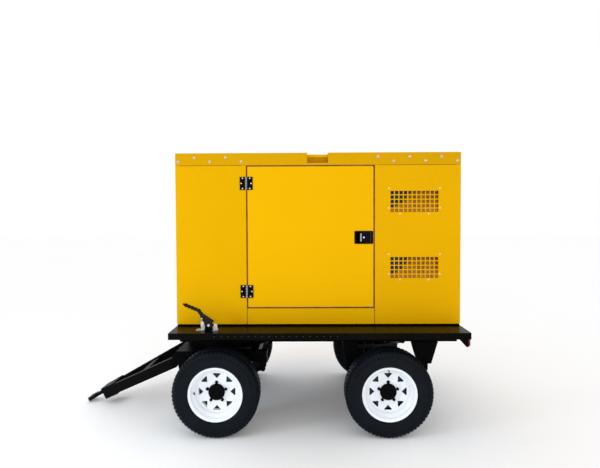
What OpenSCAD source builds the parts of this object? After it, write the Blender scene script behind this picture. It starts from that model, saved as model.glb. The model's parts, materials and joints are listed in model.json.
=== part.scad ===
// Towable diesel generator: a sound-proofed canopy on a flat deck, carried by a fixed rear
// axle and a steered front bogie with an A-frame drawbar that rests on the ground.
// +X runs from the tow eye to the tail, +Z is up, and the origin is on the ground below the
// middle of the outer box. The near side, with the brake lever, is on -Y.

/* [Deck] */
// Length of the canopy and the deck
deck_l = 2120; // [2080:10:2200]
// Width of the deck
deck_w = 1382; // [1360:2:1400]
// Height of the deck's top face
deck_z = 752; // [748:1:760]
// Height of the deck's folded edge
skirt_h = 46; // [40:1:50]

/* [Canopy] */
// Width of the canopy
canopy_w = 920; // [900:10:940]
// Height of the roof above the ground
roof_z = 2042; // [2030:1:2060]
// Height of the roof cover's side flange
flange_h = 92; // [88:1:96]
// Thickness of the sheet steel
sheet = 3; // [2:1:4]
// Gap around each door
seam = 4; // [3:1:5]

/* [Doors] */
// Width of a door
door_w = 954; // [930:2:960]
// Distance from the canopy's front end to the door
door_inset = 528; // [520:2:540]
// Height of the fixed sill below a door
sill_h = 120; // [110:1:130]
// Length of a hinge
hinge_l = 96; // [90:2:100]

/* [Air grilles] */
// Pitch of the square holes
hole_pitch = 33; // [31:0.5:33]
// Width of the bars between the holes
bar_w = 7.5; // [7:0.5:10]

/* [Running gear] */
// Outer radius of a tyre
tyre_r = 312; // [308:1:312]
// Width of a tyre
tyre_w = 178; // [170:2:180]
// Distance between the two axles
wheelbase = 1230; // [1220:2:1240]
// Distance between the wheels' middle planes
track = 1220; // [1216:2:1224]
// Distance from an axle to its springs' rear eyes
spring_half = 315; // [312:1:318]
// Distance from an axle to its springs' front eyes
spring_front = 250; // [245:1:255]

/* [Drawbar] */
// Slope of the drawbar when its eye lies on the ground
drawbar_slope = 27.5; // [27:0.1:27.9]
// Length from the drawbar's pivot to the centre of the eye
drawbar_l = 893; // [888:1:894]

/* [Hidden] */
$fn = 96;

canopy_yellow = "gold";
frame_black = "#202022";
zinc = "silver";
cast_grey = "dimgray";

// Main stations along X
front_x = -605;
rear_x = front_x + deck_l;
mid_x = (front_x + rear_x) / 2;
front_axle_x = -280;
rear_axle_x = front_axle_x + wheelbase;

// Deck and rails
deck_y = deck_w / 2;
deck_t = 5;
rail_h = 130;
rail_w = 50;
rail_y = 410;
rail_top = deck_z - deck_t;
rail_bottom = rail_top - rail_h;

// Canopy levels
face_y = canopy_w / 2;
strip_h = 12;
panel_z = deck_z + strip_h;
flange_z = roof_z - flange_h;
door_x0 = front_x + door_inset;
door_x1 = door_x0 + door_w;
door_z0 = panel_z + sill_h;
post = 30;
return_d = 25;
head_z = flange_z + 1;
head_t = 12;
weld_gap = 0.2;

// Lifting pockets in the roof's side edges
pocket_w = 155;
pocket_z = flange_z + 13;
pocket_d = 106;
bar_z = pocket_z + 50;

// Air grilles
grid_nx = 11;
grid_nz = 5;
grille_w = grid_nx * hole_pitch - bar_w;
grille_h = grid_nz * hole_pitch - bar_w;
grille_x = 1173;
grille_zs = [1678, 1186];

// Door hinges
hinge_zs = [1817, 1010];
barrel_r = 6.5;
barrel_y = face_y + barrel_r + 0.5;
leaf_t = 4;
leaf_w = 48;
hinge_pin_r = 3;

// Door latch
latch_w = 139;
latch_h = 97;
latch_x = door_x1 - seam / 2 - 9 - latch_w;
latch_z = 1412;
tray_w = 113;
tray_h = 75;
tray_d = 22;
paddle_pin_r = 2.5;
paddle_pivot_x = latch_x + 114;
paddle_pivot_y = face_y - 8;

// Wheels
rim_lip_r = 194.5;
lip_z = 75;
disc_t = 6;
stud_pcd_r = 69.85;
spindle_r = 17.5;
fit = 0.05;

// Leaf springs
spring_y = 385;
spring_w = 60;
leaf_count = 5;
leaf_thick = 8;
axle_half = 30;
pack_top_z = tyre_r + axle_half + leaf_count * leaf_thick;
eye_r = 18;
eye_pin_r = 8;
eye_z = pack_top_z + 33;
leaf_sag = eye_z - eye_r + leaf_thick - pack_top_z;
leaf_r = (spring_half * spring_half + leaf_sag * leaf_sag) / (2 * leaf_sag);
front_eye_z = eye_z - leaf_sag + leaf_r - sqrt(leaf_r * leaf_r - spring_front * spring_front);

// Front bogie and turntable
bogie_z0 = 465;
bogie_z1 = 545;
ring_r0 = 300;
ring_r1 = 350;

// Drawbar
pivot_x = -665;
pivot_z = 436;
pivot_pin_r = 15;
beam_len = 774;
beam_nose_y = 22;
beam_spread = 0.3643;
beam_w = 42.5;
beam_half_h = 40;
eye_lift = 14;

// Brake lever
lever_x = -338;
lever_y = -590;
lever_z = deck_z + 36;
lever_pin_r = 6;
grip_tilt = 157;

// Engine line
crank_z = 1080;
fan_z = 1190;

module both_sides() {
    children();
    mirror([0, 1, 0]) children();
}

// A rectangular tube along X, capped at both ends
module tube_x(l, w, h, wall) {
    difference() {
        cube([l, w, h]);
        translate([wall, wall, wall]) cube([l - 2 * wall, w - 2 * wall, h - 2 * wall]);
    }
}

// A rectangular tube along Y, open at both ends, centred on y = 0
module tube_y(x, w, l, z, h, wall) {
    translate([x, -l / 2, z]) difference() {
        cube([w, l, h]);
        translate([wall, -1, wall]) cube([w - 2 * wall, l + 2, h - 2 * wall]);
    }
}

// Turns a shape drawn in the XZ plane, with its thickness along +Y from y
module xz_plate(y, t) {
    translate([0, y + t, 0]) rotate([90, 0, 0]) linear_extrude(t) children();
}

// ---------------------------------------------------------------- deck and rails

module deck() {
    color(frame_black) difference() {
        translate([front_x, -deck_y, deck_z - skirt_h]) cube([deck_l, deck_w, skirt_h]);
        translate([front_x + deck_t, -deck_y + deck_t, deck_z - skirt_h - 1])
            cube([deck_l - 2 * deck_t, deck_w - 2 * deck_t, skirt_h - deck_t + 1]);
    }
}

module main_rails() {
    color(frame_black) both_sides()
        translate([front_x + deck_t, -rail_y, rail_bottom])
            tube_x(deck_l - 2 * deck_t, rail_w, rail_h, 6);
}

module cross_members() {
    inner = 2 * (rail_y - rail_w);
    color(frame_black) {
        for (x = [-598, -400, -160, 90, 350, 620, 890, 1160, 1448])
            tube_y(x, 60, inner, rail_bottom, rail_h, 5);
        for (x = [-560, -265, 30, 325, 620, 915, 1210, 1460])
            both_sides() translate([x, -deck_y + deck_t, deck_z - skirt_h])
                cube([40, deck_y - deck_t - rail_y, skirt_h - deck_t]);
    }
}

module turntable_upper_ring() {
    top = rail_bottom;
    color(frame_black) translate([front_axle_x, 0, 0]) rotate_extrude()
        polygon([
            [ring_r0, top], [ring_r1, top], [ring_r1, top - 42], [ring_r1 - 18, top - 42],
            [ring_r1 - 18, top - 16], [ring_r0, top - 16]
        ]);
}

// ---------------------------------------------------------------- springs and axles

// A spring's two eyes, as [x, z] from its axle
spring_eyes = [[-spring_front, front_eye_z], [spring_half, eye_z]];

// One leaf pack along X, with its axle at x = 0
module leaf_pack() {
    translate([0, spring_w / 2, 0]) rotate([90, 0, 0]) {
        linear_extrude(spring_w) for (i = [0:leaf_count - 1]) {
            r = leaf_r + i * leaf_thick;
            cut = i == 0 ? 2 : i * 45;
            intersection() {
                translate([0, pack_top_z + leaf_r]) difference() {
                    circle(r + leaf_thick, $fn = 720);
                    circle(r, $fn = 720);
                }
                translate([cut - spring_front, pack_top_z - 60])
                    square([spring_front + spring_half - 2 * cut, 120]);
            }
        }
        for (e = spring_eyes) translate([e[0], e[1], 0]) cylinder(r = eye_r, h = spring_w);
    }
}

module spring() {
    difference() {
        leaf_pack();
        for (e = spring_eyes) translate([e[0], spring_w, e[1]]) rotate([90, 0, 0])
            cylinder(r = eye_pin_r + fit, h = 2 * spring_w);
    }
}

module springs(x) {
    color(cast_grey) both_sides() translate([x, -spring_y, 0]) spring();
}

// The fixed hanger at a spring's front eye: a pair of cheeks, a top plate and the pin
module fixed_hanger(top_z, half_top) {
    for (y = [-38, 32]) xz_plate(y, 6) {
        polygon([[-half_top, top_z], [half_top, top_z], [26, front_eye_z], [-26, front_eye_z]]);
        translate([0, front_eye_z]) circle(26);
    }
    translate([-half_top, -38, top_z - 8]) cube([2 * half_top, 76, 8]);
    translate([0, 42, front_eye_z]) rotate([90, 0, 0]) cylinder(r = eye_pin_r, h = 84);
}

// The two swinging links at a spring's rear eye, with their pins
module shackle(pin_z, upper_gap) {
    for (y = [-45, 39]) xz_plate(y, 6) {
        translate([-20, eye_z]) square([40, pin_z - eye_z]);
        translate([0, eye_z]) circle(20);
        translate([0, pin_z]) circle(20);
    }
    translate([0, 48, eye_z]) rotate([90, 0, 0]) cylinder(r = eye_pin_r, h = 96);
    for (s = [-1, 1]) translate([0, s * 48, pin_z]) rotate([s * 90, 0, 0])
        cylinder(r = eye_pin_r, h = 48 - upper_gap);
}

// The tapered hanger that carries a shackle below the main rail
module shackle_hanger() {
    pin_z = eye_z + 62;
    for (y = [-38, 32]) xz_plate(y, 6) difference() {
        polygon([[-97, rail_bottom], [97, rail_bottom], [48, pin_z - 26], [-48, pin_z - 26]]);
        translate([0, pin_z]) circle(eye_pin_r);
    }
    translate([-97, -38, rail_bottom - 8]) cube([194, 76, 8]);
    shackle(pin_z, 0);
}

module rear_spring_hangers() {
    color(frame_black) both_sides() translate([rear_axle_x, -spring_y, 0]) {
        translate([-spring_front, 0, 0]) fixed_hanger(rail_bottom, 60);
        translate([spring_half, 0, 0]) shackle_hanger();
    }
}

// The plates and U-bolts that clamp a spring onto its axle
module spring_clamp() {
    reach = 38;
    bottom = tyre_r - axle_half;
    translate([-48, -48, pack_top_z + 1]) cube([96, 96, 10]);
    translate([-48, -48, bottom - 10]) cube([96, 96, 10]);
    for (x = [-reach, reach], y = [-reach, reach]) translate([x, y, 0]) {
        translate([0, 0, bottom - 26]) cylinder(r = 6, h = pack_top_z - bottom + 52, $fn = 24);
        translate([0, 0, pack_top_z + 11]) cylinder(r = 11, h = 10, $fn = 6);
        translate([0, 0, bottom - 20]) cylinder(r = 11, h = 10, $fn = 6);
    }
}

module spring_clamps(x) {
    color(zinc) both_sides() translate([x, -spring_y, 0]) spring_clamp();
}

module axle_beam(x) {
    translate([x - axle_half, -500, tyre_r - axle_half]) cube([2 * axle_half, 1000, 2 * axle_half]);
    translate([x, track / 2 - 10, tyre_r]) rotate([90, 0, 0]) cylinder(r = spindle_r, h = track - 20);
}

module rear_axle() {
    color(frame_black) {
        axle_beam(rear_axle_x);
        both_sides() translate([rear_axle_x, -track / 2 + 82, tyre_r]) rotate([90, 0, 0])
            cylinder(r = 112, h = 6);
    }
}

module tail_lamp_brackets() {
    top = deck_z - skirt_h;
    color(frame_black) both_sides() {
        xz_plate(-672, 4) polygon([
            [rear_x - 80, top], [rear_x - 10, top], [rear_x - 10, top - 56], [rear_x - 25, top - 60]
        ]);
        translate([rear_x - 14, -668, top - 56]) cube([4, 76, 56]);
    }
}

module tail_lamps() {
    color("firebrick") both_sides() translate([rear_x - 10, -666, deck_z - skirt_h - 52])
        cube([9, 72, 46]);
}

// ---------------------------------------------------------------- canopy

// Sills and cross bars below the panels, the engine, the alternator and the fuel tank
module base_frame() {
    sill_w = 60;
    bars = [
        [front_x + 4, 118], [-340, 70], [180, 70], [420, 70], [750, 70], [1060, 70], [1400, 111]
    ];
    bar_l = canopy_w - 2 * (4 + sill_w + weld_gap);
    color(frame_black) {
        both_sides() translate([front_x + 4, -face_y + 4, deck_z]) cube([deck_l - 8, sill_w, strip_h]);
        for (b = bars) translate([b[0], -bar_l / 2, deck_z]) cube([b[1], bar_l, strip_h]);
    }
}

module canopy_post(x, z0, z1) {
    both_sides() translate([x, -face_y + sheet, z0]) cube([post, post, z1 - z0]);
}

// Square bars, each one a hair's breadth from the bar that it is welded to
module canopy_frame() {
    inner_x0 = front_x + sheet;
    inner_x1 = rear_x - sheet;
    top = roof_z - sheet;
    span = canopy_w - 2 * (sheet + post + weld_gap);
    upper_z = head_z + head_t + weld_gap;
    rail_x0 = mid_x - pocket_w / 2 - sheet;
    rail_x1 = mid_x + pocket_w / 2 + sheet;
    color(canopy_yellow) {
        for (x = [inner_x0, inner_x1 - post, door_x0 - 5 - post, door_x1 + 5])
            canopy_post(x, panel_z, head_z - weld_gap);
        for (x = [inner_x0, inner_x1 - post]) canopy_post(x, upper_z, top - post - weld_gap);
        both_sides() {
            translate([inner_x0, -face_y + sheet, head_z]) cube([inner_x1 - inner_x0, post, head_t]);
            translate([inner_x0, -face_y + sheet, top - post]) cube([rail_x0 - inner_x0, post, post]);
            translate([rail_x1, -face_y + sheet, top - post]) cube([inner_x1 - rail_x1, post, post]);
            translate([mid_x - pocket_w / 2, -face_y + 34, bar_z]) cube([pocket_w, 12, 20]);
        }
        for (x = [inner_x0, inner_x1 - post]) {
            translate([x, -span / 2, head_z]) cube([post, span, head_t]);
            translate([x, -span / 2, top - post]) cube([post, span, post]);
        }
    }
}

module side_front_panels() {
    color(canopy_yellow) both_sides() translate([front_x, -face_y, panel_z])
        cube([door_inset - seam / 2, sheet, flange_z - 2 - panel_z]);
}

module side_rear_panels() {
    x0 = door_x1 + seam / 2;
    color(canopy_yellow) both_sides() difference() {
        translate([x0, -face_y, panel_z]) cube([rear_x - x0, sheet, flange_z - 2 - panel_z]);
        for (z = grille_zs) translate([grille_x - grille_w / 2, -face_y - 1, z - grille_h / 2])
            cube([grille_w, sheet + 2, grille_h]);
    }
}

module door_sills() {
    color(canopy_yellow) both_sides() translate([door_x0 + seam / 2, -face_y, panel_z])
        cube([door_w - seam, sheet, sill_h - seam / 2]);
}

// An end wall between the side panels, with a rectangular opening in its outline
module end_wall(x, open_w, open_z0, open_z1) {
    w = canopy_w - 2 * sheet;
    difference() {
        translate([x, -w / 2, panel_z]) cube([sheet, w, flange_z - 2 - panel_z]);
        translate([x - 1, -open_w / 2, open_z0]) cube([sheet + 2, open_w, open_z1 - open_z0]);
    }
}

module front_end_panel() {
    color(canopy_yellow) end_wall(front_x, 680, 860, 1520);
}

module rear_end_panel() {
    color(canopy_yellow) end_wall(rear_x - sheet, 500, 1480, 1840);
}

module front_louvres() {
    color(canopy_yellow) {
        for (y = [-340, 337]) translate([front_x, y, 860]) cube([36, 3, 660]);
        for (i = [0:14]) translate([front_x + 2, -337, 870 + i * 44]) rotate([0, -45, 0])
            cube([44, 674, 2]);
    }
}

module roof_cover() {
    color(canopy_yellow) {
        difference() {
            translate([front_x, -face_y, flange_z + 1]) cube([deck_l, canopy_w, flange_h - 1]);
            translate([front_x + sheet, -face_y + sheet, flange_z])
                cube([deck_l - 2 * sheet, canopy_w - 2 * sheet, flange_h - sheet]);
            both_sides() translate([mid_x - pocket_w / 2, -face_y - 1, pocket_z + sheet])
                cube([pocket_w, pocket_d + 1, flange_h]);
            translate([-480, 190, roof_z - 10]) cylinder(r = 42, h = 20);
        }
        both_sides() {
            translate([mid_x - pocket_w / 2, -face_y + sheet - 1, pocket_z])
                cube([pocket_w, pocket_d - sheet + 1, sheet]);
            translate([mid_x - pocket_w / 2, -face_y + pocket_d, pocket_z])
                cube([pocket_w, sheet, roof_z - sheet - pocket_z]);
            for (x = [mid_x - pocket_w / 2 - sheet, mid_x + pocket_w / 2])
                translate([x, -face_y + sheet, pocket_z])
                    cube([sheet, pocket_d, roof_z - sheet - pocket_z]);
        }
    }
}

module vent_grille() {
    margin = 25;
    x0 = -grille_w / 2;
    z0 = -grille_h / 2;
    xz_plate(-face_y + sheet, sheet) difference() {
        translate([x0 - margin, z0 - margin]) square([grille_w + 2 * margin, grille_h + 2 * margin]);
        for (i = [0:grid_nx - 1], k = [0:grid_nz - 1])
            translate([x0 + i * hole_pitch, z0 + k * hole_pitch]) square(hole_pitch - bar_w);
    }
}

module vent_grilles() {
    color(canopy_yellow) both_sides() for (z = grille_zs) translate([grille_x, 0, z]) vent_grille();
}

module dome_screw() {
    rotate([90, 0, 0]) cylinder(r1 = 9, r2 = 5, h = 4, $fn = 24);
}

module canopy_screws() {
    end_gap = 23;
    pitch = 117.5;
    color(zinc) both_sides() translate([0, -face_y, 0]) {
        for (i = [0:4]) translate([front_x + end_gap + i * pitch, 0, roof_z - (i % 2 == 0 ? 62 : 31)])
            dome_screw();
        for (i = [0:5]) translate([rear_x - end_gap - i * pitch, 0, roof_z - (i % 2 == 0 ? 62 : 31)])
            dome_screw();
        for (z = grille_zs, s = [-1, 1]) translate([grille_x, 0, z]) {
            translate([s * (grille_w / 2 + 12), 0, grille_h / 2 + 20]) dome_screw();
            translate([s * (grille_w / 2 + 12), 0, -48]) dome_screw();
            translate([s * 106, 0, -grille_h / 2 - 12]) dome_screw();
        }
    }
}

// Knuckles of one hinge: the ones that start at index first, and every second one after it
module knuckles(first, side) {
    step = hinge_l / 5;
    for (i = [first:2:4]) translate([0, 0, -hinge_l / 2 + i * step + 0.2]) {
        cylinder(r = barrel_r, h = step - 0.4, $fn = 48);
        translate([side < 0 ? -8 : 0, barrel_y - face_y - leaf_t, 0]) cube([8, leaf_t, step - 0.4]);
    }
}

module hinge_leaf(side) {
    x0 = side < 0 ? -leaf_w : 8;
    translate([x0, barrel_y - face_y - leaf_t, -hinge_l / 2]) cube([leaf_w - 8, leaf_t, hinge_l]);
}

module hinge_screws(side) {
    for (p = [[16, 36], [16, -36], [36, 0]])
        translate([side * p[0], barrel_y - face_y - leaf_t, p[1]]) rotate([90, 0, 0])
            cylinder(r1 = 5, r2 = 3, h = 2.5, $fn = 24);
}

module hinge_fixed_leaves() {
    color(frame_black) both_sides() for (z = hinge_zs) translate([door_x0, -barrel_y, z]) {
        knuckles(0, -1);
        hinge_leaf(-1);
        hinge_screws(-1);
        translate([0, 0, -hinge_l / 2]) cylinder(r = hinge_pin_r, h = hinge_l, $fn = 48);
    }
}

// ---------------------------------------------------------------- doors

module door_leaf_plate() {
    x0 = door_x0 + seam / 2;
    w = door_w - seam;
    z0 = door_z0 + seam / 2;
    h = flange_z - 2 - z0;
    lip = 4;
    color(canopy_yellow) difference() {
        union() {
            translate([x0, -face_y, z0]) cube([w, sheet, h]);
            translate([x0 + lip, -face_y + sheet, z0 + lip])
                cube([w - 2 * lip, return_d, h - 2 * lip]);
        }
        translate([x0 + lip + 2, -face_y + sheet, z0 + lip + 2])
            cube([w - 2 * lip - 4, return_d + 1, h - 2 * lip - 4]);
        translate([latch_x + latch_w / 2 - tray_w / 2 - 2, -face_y - 1, latch_z - tray_h / 2 - 2])
            cube([tray_w + 4, sheet + 2, tray_h + 4]);
    }
}

module latch_tray() {
    cx = latch_x + latch_w / 2;
    difference() {
        union() {
            xz_plate(-face_y - sheet, sheet) translate([cx, latch_z]) offset(r = 8)
                square([latch_w - 16, latch_h - 16], center = true);
            translate([cx - tray_w / 2 - 2, -face_y, latch_z - tray_h / 2 - 2])
                cube([tray_w + 4, tray_d, tray_h + 4]);
        }
        translate([cx - tray_w / 2, -face_y - sheet - 1, latch_z - tray_h / 2])
            cube([tray_w, tray_d + sheet - 1, tray_h]);
    }
    translate([paddle_pivot_x, -paddle_pivot_y, latch_z - tray_h / 2])
        cylinder(r = paddle_pin_r, h = tray_h, $fn = 48);
}

module door_fittings() {
    color(frame_black) {
        latch_tray();
        for (z = hinge_zs) translate([door_x0, -barrel_y, z]) {
            difference() {
                knuckles(1, 1);
                translate([0, 0, -hinge_l / 2]) cylinder(r = hinge_pin_r + fit, h = hinge_l, $fn = 48);
            }
            hinge_leaf(1);
            hinge_screws(1);
        }
    }
}

module latch_paddle() {
    half_h = 33;
    plate_t = 4;
    color(frame_black) difference() {
        union() {
            translate([latch_x + 42, -face_y - 1, latch_z - half_h])
                cube([paddle_pivot_x - latch_x - 42 + 3, plate_t, 2 * half_h]);
            translate([paddle_pivot_x - 4, -face_y, latch_z - 30]) cube([7, 8, 60]);
            translate([paddle_pivot_x, -paddle_pivot_y, latch_z - 30]) cylinder(r = 5, h = 60, $fn = 48);
            translate([latch_x + 70, -face_y - 1, latch_z]) rotate([90, 0, 0])
                cylinder(r = 7, h = 1.5, $fn = 32);
        }
        translate([paddle_pivot_x, -paddle_pivot_y, latch_z - 40])
            cylinder(r = paddle_pin_r + fit, h = 80, $fn = 48);
    }
}

module near_door() { door_leaf_plate(); }
module near_door_fittings() { door_fittings(); }
module near_latch_paddle() { latch_paddle(); }
module far_door() { mirror([0, 1, 0]) door_leaf_plate(); }
module far_door_fittings() { mirror([0, 1, 0]) door_fittings(); }
module far_latch_paddle() { mirror([0, 1, 0]) latch_paddle(); }

// ---------------------------------------------------------------- brake lever

module at_lever() {
    translate([lever_x, lever_y, lever_z]) children();
}

// A cylinder along Y, centred on the lever's plane
module pin_y(x, z, r, l) {
    translate([x, l / 2, z]) rotate([90, 0, 0]) cylinder(r = r, h = l);
}

module brake_lever_base() {
    foot_z = deck_z - lever_z;
    color(zinc) at_lever() {
        xz_plate(-2.5, 5) {
            intersection() {
                circle(60);
                polygon([[20, 20], [24, foot_z], [-58, foot_z], [-60, 46], [-18, 60]]);
            }
            polygon([[-60, foot_z], [-36, foot_z], [-44, 26], [-54, 28], [-52, -10]]);
            polygon([[12, foot_z], [64, foot_z], [60, 4], [40, 12], [34, -8], [12, -20]]);
        }
        translate([-90, -22, foot_z]) cube([54, 44, 4]);
        translate([30, -22, foot_z]) cube([38, 44, 4]);
        for (x = [-74, 52], y = [-14, 14]) translate([x, y, foot_z + 4]) cylinder(r = 6, h = 5, $fn = 6);
        pin_y(0, 0, lever_pin_r, 26);
        for (y = [-13.5, 9.5]) translate([0, y, 0]) rotate([-90, 0, 0]) cylinder(r = 10, h = 4, $fn = 6);
    }
}

// A ball-ended grip along its own axis, with a bore for the release button
module lever_grip() {
    translate([-60, 0, 100]) rotate([0, 90 - grip_tilt, 0]) difference() {
        union() {
            cylinder(r = 11, h = 126, $fn = 48);
            for (i = [0:4]) translate([0, 0, 16 + i * 24]) sphere(14, $fn = 48);
        }
        translate([0, 0, 100]) cylinder(r = 5 + fit, h = 60, $fn = 48);
    }
}

module brake_lever() {
    color(frame_black) at_lever() {
        difference() {
            xz_plate(-9, 18) polygon([
                [-66, 112], [-40, 81], [38, 29], [26, 15], [23, -22], [-27, -22],
                [-34, 18], [-53, 42], [-62, 70], [-78, 94]
            ]);
            pin_y(0, 0, 78, 6);
            pin_y(0, 0, lever_pin_r + fit, 40);
        }
        pin_y(-48, 48, 4, 24);
        lever_grip();
    }
}

module brake_release_button() {
    color("dimgray") at_lever() translate([-60, 0, 100]) rotate([0, 90 - grip_tilt, 0])
        translate([0, 0, 110]) cylinder(r = 5, h = 28, $fn = 48);
}

// ---------------------------------------------------------------- front bogie

module bogie_frame() {
    x0 = front_axle_x - 345;
    x1 = front_axle_x + 345;
    side_w = 60;
    h = bogie_z1 - bogie_z0;
    inner = 2 * (spring_y - side_w / 2);
    color(frame_black) {
        both_sides() translate([x0, -spring_y - side_w / 2, bogie_z0]) tube_x(x1 - x0, side_w, h, 5);
        for (x = [x0, front_axle_x - 30, x1 - 130]) tube_y(x, 60, inner, bogie_z0, h, 5);
        both_sides() {
            for (y = [-365, -282]) xz_plate(y, 12) {
                polygon([
                    [pivot_x - 26, pivot_z + 15], [pivot_x + 20, bogie_z1 - 9], [x0, bogie_z1 - 9],
                    [x0, bogie_z0 + 2], [pivot_x + 15, pivot_z - 26]
                ]);
                translate([pivot_x, pivot_z]) circle(30);
            }
            translate([pivot_x, -266, pivot_z]) rotate([90, 0, 0]) cylinder(r = pivot_pin_r, h = 103);
        }
    }
}

module turntable_lower_ring() {
    top = rail_bottom - 16.6;
    color(frame_black) translate([front_axle_x, 0, 0]) rotate_extrude()
        polygon([
            [ring_r0 - 20, bogie_z1], [ring_r1, bogie_z1], [ring_r1, bogie_z1 + 14],
            [ring_r1 - 19, bogie_z1 + 14], [ring_r1 - 19, top], [ring_r0 - 20, top]
        ]);
}

module front_spring_hangers() {
    color(frame_black) both_sides() translate([front_axle_x, -spring_y, 0]) {
        translate([-spring_front, 0, 0]) fixed_hanger(bogie_z0, 30);
        translate([spring_half, 0, 0]) shackle(eye_z + 76, 30);
    }
}

// ---------------------------------------------------------------- drawbar

module in_drawbar() {
    translate([pivot_x, 0, pivot_z]) rotate([0, -drawbar_slope, 0]) children();
}

// Distance of a beam's inner face from the middle, at a length l from the pivot
function inner_y(l) = beam_nose_y + (beam_len - l) * beam_spread;

module drawbar_beam() {
    in_drawbar() difference() {
        union() {
            translate([0, 0, -beam_half_h]) linear_extrude(2 * beam_half_h) polygon([
                [0, -inner_y(0) - beam_w], [0, -inner_y(0)],
                [-beam_len, -inner_y(beam_len)], [-beam_len, -inner_y(beam_len) - beam_w]
            ]);
            translate([0, -284, 0]) rotate([90, 0, 0]) cylinder(r = 34, h = 67);
        }
        translate([0, -200, 0]) rotate([90, 0, 0]) cylinder(r = pivot_pin_r + fit, h = 200);
    }
}

module drawbar_near_beam() { color(frame_black) drawbar_beam(); }
module drawbar_far_beam() { color(frame_black) mirror([0, 1, 0]) drawbar_beam(); }

module drawbar_ties() {
    tie_l0 = 300;
    tie_l1 = 360;
    nose_l0 = 640;
    nose_t = 8;
    color(frame_black) in_drawbar() {
        translate([0, 0, -30]) linear_extrude(60) polygon([
            [-tie_l0, -inner_y(tie_l0)], [-tie_l0, inner_y(tie_l0)],
            [-tie_l1, inner_y(tie_l1)], [-tie_l1, -inner_y(tie_l1)]
        ]);
        for (z = [-beam_half_h - nose_t, beam_half_h]) translate([0, 0, z]) linear_extrude(nose_t)
            polygon([
                [-nose_l0, -inner_y(nose_l0) - beam_w], [-nose_l0, inner_y(nose_l0) + beam_w],
                [-beam_len, inner_y(beam_len) + beam_w], [-beam_len, -inner_y(beam_len) - beam_w]
            ]);
    }
}

module tow_eye() {
    ring_r = 50;
    bore_r = 25;
    half_t = 14;
    color(zinc) in_drawbar() translate([-drawbar_l, 0, eye_lift]) difference() {
        union() {
            translate([0, 0, -half_t]) cylinder(r = ring_r, h = 2 * half_t);
            translate([0, -beam_nose_y + 2, -half_t]) cube([250, 2 * beam_nose_y - 4, 2 * half_t]);
        }
        translate([0, 0, -50]) cylinder(r = bore_r, h = 100);
    }
}

// ---------------------------------------------------------------- wheels

// Places a wheel part whose own +Z points outboard and whose own +Y points up
module at_wheel(x) {
    translate([x, -track / 2, tyre_r]) rotate([90, 0, 0]) children();
}

module tyre() {
    h = tyre_w / 2;
    r = tyre_r;
    outer = [
        [178.2, 63.5], [196, 67], [199, 76], [220, h - 3], [245, h], [268, h - 2],
        [r - 20, h - 8], [r - 8, h - 17], [r, h - 30]
    ];
    inner = [[r - 14, 0], [r - 16, h - 40], [r - 30, h - 20], [246, h - 12], [204, 60], [178.2, 46]];
    color("#1a1a1a") difference() {
        rotate_extrude() polygon(concat(
            outer,
            [for (i = [len(outer) - 1:-1:0]) [outer[i][0], -outer[i][1]]],
            [for (i = [len(inner) - 1:-1:1]) [inner[i][0], -inner[i][1]]],
            inner
        ));
        for (z = [-30, 0, 30]) rotate_extrude() translate([r - 8, z - 4]) square([12, 8]);
    }
}

module rim() {
    outer = [[rim_lip_r, lip_z], [rim_lip_r, lip_z - 6], [182, 66], [178, 64], [178, 42], [156, 26]];
    inner = [[152, 28], [174, 44], [174, 66], [179, 71], [190, lip_z]];
    color("whitesmoke") {
        rotate_extrude() polygon(concat(
            outer,
            [for (i = [len(outer) - 1:-1:0]) [outer[i][0], -outer[i][1]]],
            [for (i = [len(inner) - 1:-1:0]) [inner[i][0], -inner[i][1]]],
            inner
        ));
        linear_extrude(disc_t) difference() {
            circle(154);
            circle(42);
            for (i = [0:7]) rotate(90 + i * 45) polygon([[130, -27], [130, 27], [101, 0]]);
            for (i = [0:4]) rotate(90 + i * 72) translate([stud_pcd_r, 0]) circle(8);
        }
    }
}

// A hub with its studs, nuts and cap; a braked one has a drum
module hub(braked) {
    color(frame_black) difference() {
        union() {
            translate([0, 0, -70]) cylinder(r = 45, h = 60);
            translate([0, 0, -12]) cylinder(r = 85, h = 12);
            cylinder(r = 41.9, h = disc_t);
            translate([0, 0, disc_t]) cylinder(r = 58.5, h = 12);
            translate([0, 0, disc_t + 12]) cylinder(r1 = 58.5, r2 = 52, h = 6);
            for (i = [0:4]) rotate(90 + i * 72) translate([stud_pcd_r, 0, 0]) {
                translate([0, 0, -6]) cylinder(r = 6, h = 32, $fn = 24);
                translate([0, 0, disc_t]) cylinder(r = 10.5, h = 14, $fn = 6);
            }
            if (braked) translate([0, 0, -70]) difference() {
                cylinder(r = 105, h = 58);
                translate([0, 0, -1]) cylinder(r = 95, h = 51);
            }
        }
        translate([0, 0, -100]) cylinder(r = spindle_r + fit, h = 93);
    }
}

module tyre_front_near() { at_wheel(front_axle_x) tyre(); }
module rim_front_near() { at_wheel(front_axle_x) rim(); }
module hub_front_near() { at_wheel(front_axle_x) hub(false); }
module tyre_front_far() { mirror([0, 1, 0]) tyre_front_near(); }
module rim_front_far() { mirror([0, 1, 0]) rim_front_near(); }
module hub_front_far() { mirror([0, 1, 0]) hub_front_near(); }
module tyre_rear_near() { at_wheel(rear_axle_x) tyre(); }
module rim_rear_near() { at_wheel(rear_axle_x) rim(); }
module hub_rear_near() { at_wheel(rear_axle_x) hub(true); }
module tyre_rear_far() { mirror([0, 1, 0]) tyre_rear_near(); }
module rim_rear_far() { mirror([0, 1, 0]) rim_rear_near(); }
module hub_rear_far() { mirror([0, 1, 0]) hub_rear_near(); }

// ---------------------------------------------------------------- generating set

// A cylinder along X from x0 to x1
module rod_x(x0, x1, y, z, r) {
    translate([x0, y, z]) rotate([0, 90, 0]) cylinder(r = r, h = x1 - x0);
}

module box(x0, x1, y0, y1, z0, z1) {
    translate([x0, y0, z0]) cube([x1 - x0, y1 - y0, z1 - z0]);
}

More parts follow.
